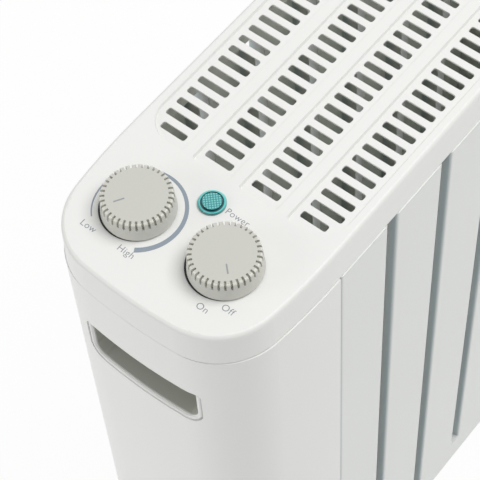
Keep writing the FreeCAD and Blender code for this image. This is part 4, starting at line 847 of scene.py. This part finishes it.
class RADIATOR_OT_lamp_facets(bpy.types.Operator):
    """Model the cross-cut disc of small pyramids in the pilot lamp's lens."""

    bl_idname = "radiator.lamp_facets"
    bl_label = "Lamp facets"

    DISC_MM = 5.9
    DEPTH_MM = 0.6
    RISE_MM = 0.35
    TURN_DEG = 45.0
    # The square grid is wider than the disc, and the round cutter deeper
    GRID_TO_RADIUS = 2.4
    CUTTER_TO_DEPTH = 6
    CUTTER_CORNERS = 64
    # Shares of the rise at which the grooves' painted shade ends and the points' painted highlight
    # is whole
    DEEP_SHARE = 0.1
    BRIGHT_SHARE = 0.7
    NO_SHADE_RING_MM = -1.0

    def execute(self, context):
        count = context.scene.radiator_print.facet_count
        radius = self.DISC_MM * MM
        depth = self.DEPTH_MM * MM
        rise = self.RISE_MM * MM
        middle = middle_of("pilot_lamp_lens")
        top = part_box("pilot_lamp_lens")[1].z
        # Painted highlight on the points over painted shade in the grooves, with no painted shade
        # ring
        teal = tinted_lens(
            "teal_acrylic_facets", linear("#84DDD8"), linear("#2A8C92"), linear("#84DDD8"),
            low_z=top + self.DEEP_SHARE * rise, high_z=top + self.BRIGHT_SHARE * rise,
            shade_ring_mm=self.NO_SHADE_RING_MM)
        clear_selection()
        bpy.ops.mesh.primitive_cylinder_add(
            vertices=self.CUTTER_CORNERS, radius=radius, depth=self.CUTTER_TO_DEPTH * depth)
        cutter = context.object
        clear_selection()
        bpy.ops.mesh.primitive_grid_add(
            x_subdivisions=count, y_subdivisions=count, size=self.GRID_TO_RADIUS * radius)
        disc = context.object
        bpy.ops.object.mode_set(mode="EDIT")
        bpy.ops.mesh.select_all(action="SELECT")
        bpy.ops.mesh.extrude_region_move(TRANSFORM_OT_translate={"value": (0, 0, -depth)})
        bpy.ops.mesh.select_all(action="SELECT")
        bpy.ops.mesh.normals_make_consistent(inside=False)
        pick(disc, "FACE", lambda face: face.normal.z > LEVEL)
        bpy.ops.mesh.poke(offset=rise)
        bpy.ops.object.mode_set(mode="OBJECT")
        trim = disc.modifiers.new("trim_round", "BOOLEAN")
        trim.operation = "INTERSECT"
        trim.object = cutter
        bpy.ops.object.modifier_apply(modifier="trim_round")
        remove(cutter)
        disc.rotation_euler.z = math.radians(self.TURN_DEG)
        disc.location = (middle.x, middle.y, top)
        settle(disc, "lamp_facets", "casing", teal)
        return {"FINISHED"}


class RADIATOR_OT_studio(bpy.types.Operator):
    """Set the pale floor, the soft light and the camera."""

    bl_idname = "radiator.studio"
    bl_label = "Studio"

    CAMERA_PLACE = (-0.60834, -0.39436, 1.48283)
    CAMERA_RIGHT = (0.626447, -0.778048, -0.046954)
    CAMERA_AHEAD = (0.387839, 0.363389, -0.847071)
    CAMERA_SENSOR_MM = 36.0
    CAMERA_REACH = 50.0
    # Soft box, its place in metres and the setting that holds its power
    LAMPS = (("overhead_box", (0.8, -1.05, 3.2), "overhead_power"),
             ("control_end_box", (-2.2, 1.4, 1.3), "end_power"))
    LAMP_SIZE = 1.6
    LAMP_AIM = (0.0, 0.0, 0.5)
    # Share of plain white in the floor where it is seen, which leaves a faint shadow
    FLOOR_GLOW = 0.95
    FLOOR_SIZE = 12.0
    FLOOR_SPECK_MM = 40.0

    def execute(self, context):
        studio = context.scene.radiator_studio
        context.scene.view_settings.view_transform = "Standard"
        self.light_surround(context, studio)
        self.lay_floor(context, studio)
        for name, place, power in self.LAMPS:
            aim = Vector(self.LAMP_AIM) - Vector(place)
            clear_selection()
            bpy.ops.object.light_add(
                type="AREA", location=place, rotation=aim.to_track_quat("-Z", "Y").to_euler())
            lamp = context.object
            lamp.name = name
            lamp.data.shape = "SQUARE"
            lamp.data.size = self.LAMP_SIZE
            lamp.data.energy = getattr(studio, power)
        self.place_camera(context, studio)
        return {"FINISHED"}

    def light_surround(self, context, studio):
        """Even white surround, full white where the camera or a reflection sees it."""
        world = bpy.data.worlds.new("white_surround")
        context.scene.world = world
        world.use_nodes = True
        tree = world.node_tree
        tree.nodes.clear()
        even = add_node(tree, "ShaderNodeBackground", {"Color": FULL_WHITE, "Strength": studio.sky})
        white = add_node(tree, "ShaderNodeBackground", {"Color": FULL_WHITE, "Strength": 1.0})
        mixed = add_node(tree, "ShaderNodeMixShader", {
            0: self.seen_directly(tree), 1: even.outputs[0], 2: white.outputs[0]})
        add_node(tree, "ShaderNodeOutputWorld", {"Surface": mixed.outputs[0]})

    def seen_directly(self, tree):
        """1 for camera, glossy and transmitted rays, as a socket."""
        path = add_node(tree, "ShaderNodeLightPath")
        first = add_node(tree, "ShaderNodeMath", {
            0: path.outputs["Is Camera Ray"], 1: path.outputs["Is Glossy Ray"]},
            operation="MAXIMUM")
        both = add_node(tree, "ShaderNodeMath", {
            0: first.outputs[0], 1: path.outputs["Is Transmission Ray"]}, operation="MAXIMUM")
        return both.outputs[0]

    def lay_floor(self, context, studio):
        """Pale floor that keeps the shadow but reads white round the object."""
        clear_selection()
        bpy.ops.mesh.primitive_plane_add(size=self.FLOOR_SIZE)
        floor = context.object
        floor.name = "studio_floor"
        # Matt paper with a slow, faint change of tone
        material, tree, place = start_material("pale_floor")
        speck = add_node(tree, "ShaderNodeTexNoise", {
            "Vector": place, "Scale": per_mm(self.FLOOR_SPECK_MM)})
        tone = add_node(tree, "ShaderNodeMix", {
            SHARE: speck.outputs[0], COLOUR_A: studio.floor_white, COLOUR_B: linear("#F6F6F6")},
            data_type="RGBA")
        paper = add_node(tree, "ShaderNodeBsdfDiffuse", {"Color": tone.outputs[MIXED]})
        glow = add_node(tree, "ShaderNodeEmission", {"Color": FULL_WHITE, "Strength": 1.0})
        share = add_node(tree, "ShaderNodeMath", {
            0: self.seen_directly(tree), 1: self.FLOOR_GLOW}, operation="MULTIPLY")
        mixed = add_node(tree, "ShaderNodeMixShader", {
            0: share.outputs[0], 1: paper.outputs[0], 2: glow.outputs[0]})
        end_material(tree, mixed)
        floor.data.materials.append(material)

    def place_camera(self, context, studio):
        """Camera at the photograph's place and angle."""
        right = Vector(self.CAMERA_RIGHT).normalized()
        ahead = Vector(self.CAMERA_AHEAD).normalized()
        up = right.cross(ahead)
        turn = Matrix((right, up, -ahead)).transposed()
        clear_selection()
        bpy.ops.object.camera_add(location=self.CAMERA_PLACE, rotation=turn.to_euler())
        camera = context.object
        camera.name = "camera"
        camera.data.sensor_width = self.CAMERA_SENSOR_MM
        camera.data.lens = studio.focal_length
        camera.data.clip_end = self.CAMERA_REACH
        context.scene.camera = camera


class RADIATOR_PT_panel(bpy.types.Panel):
    """Buttons and settings of the radiator."""

    bl_idname = "RADIATOR_PT_panel"
    bl_label = "Radiator"
    bl_space_type = "VIEW_3D"
    bl_region_type = "UI"
    bl_category = "Radiator"

    def draw(self, context):
        for operator in OPERATORS:
            self.layout.operator(operator.bl_idname)
        for name in SETTINGS:
            group = getattr(context.scene, name)
            for field in group.__annotations__:
                self.layout.prop(group, field)


OPERATORS = (RADIATOR_OT_finish_nodes, RADIATOR_OT_temperature_scale, RADIATOR_OT_control_words,
             RADIATOR_OT_knob_pointers, RADIATOR_OT_knob_shadow_rings, RADIATOR_OT_recess_beads,
             RADIATOR_OT_lamp_facets, RADIATOR_OT_studio)
SETTINGS = {"radiator_finishes": RadiatorFinishes, "radiator_print": RadiatorPrint,
            "radiator_studio": RadiatorStudio}


def register():
    """Register the settings, the operators and the panel."""
    for name, group in SETTINGS.items():
        bpy.utils.register_class(group)
        setattr(bpy.types.Scene, name, PointerProperty(type=group))
    for operator in OPERATORS:
        bpy.utils.register_class(operator)
    bpy.utils.register_class(RADIATOR_PT_panel)


def unregister():
    """Take away what register added, in the opposite order."""
    bpy.utils.unregister_class(RADIATOR_PT_panel)
    for operator in reversed(OPERATORS):
        bpy.utils.unregister_class(operator)
    for name, group in reversed(SETTINGS.items()):
        delattr(bpy.types.Scene, name)
        bpy.utils.unregister_class(group)


def main():
    """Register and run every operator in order."""
    register()
    bpy.ops.radiator.finish_nodes()
    bpy.ops.radiator.temperature_scale()
    bpy.ops.radiator.control_words()
    bpy.ops.radiator.knob_pointers()
    bpy.ops.radiator.knob_seals()
    bpy.ops.radiator.recess_beads()
    bpy.ops.radiator.lamp_facets()
    bpy.ops.radiator.studio()


if __name__ == "__main__":
    main()
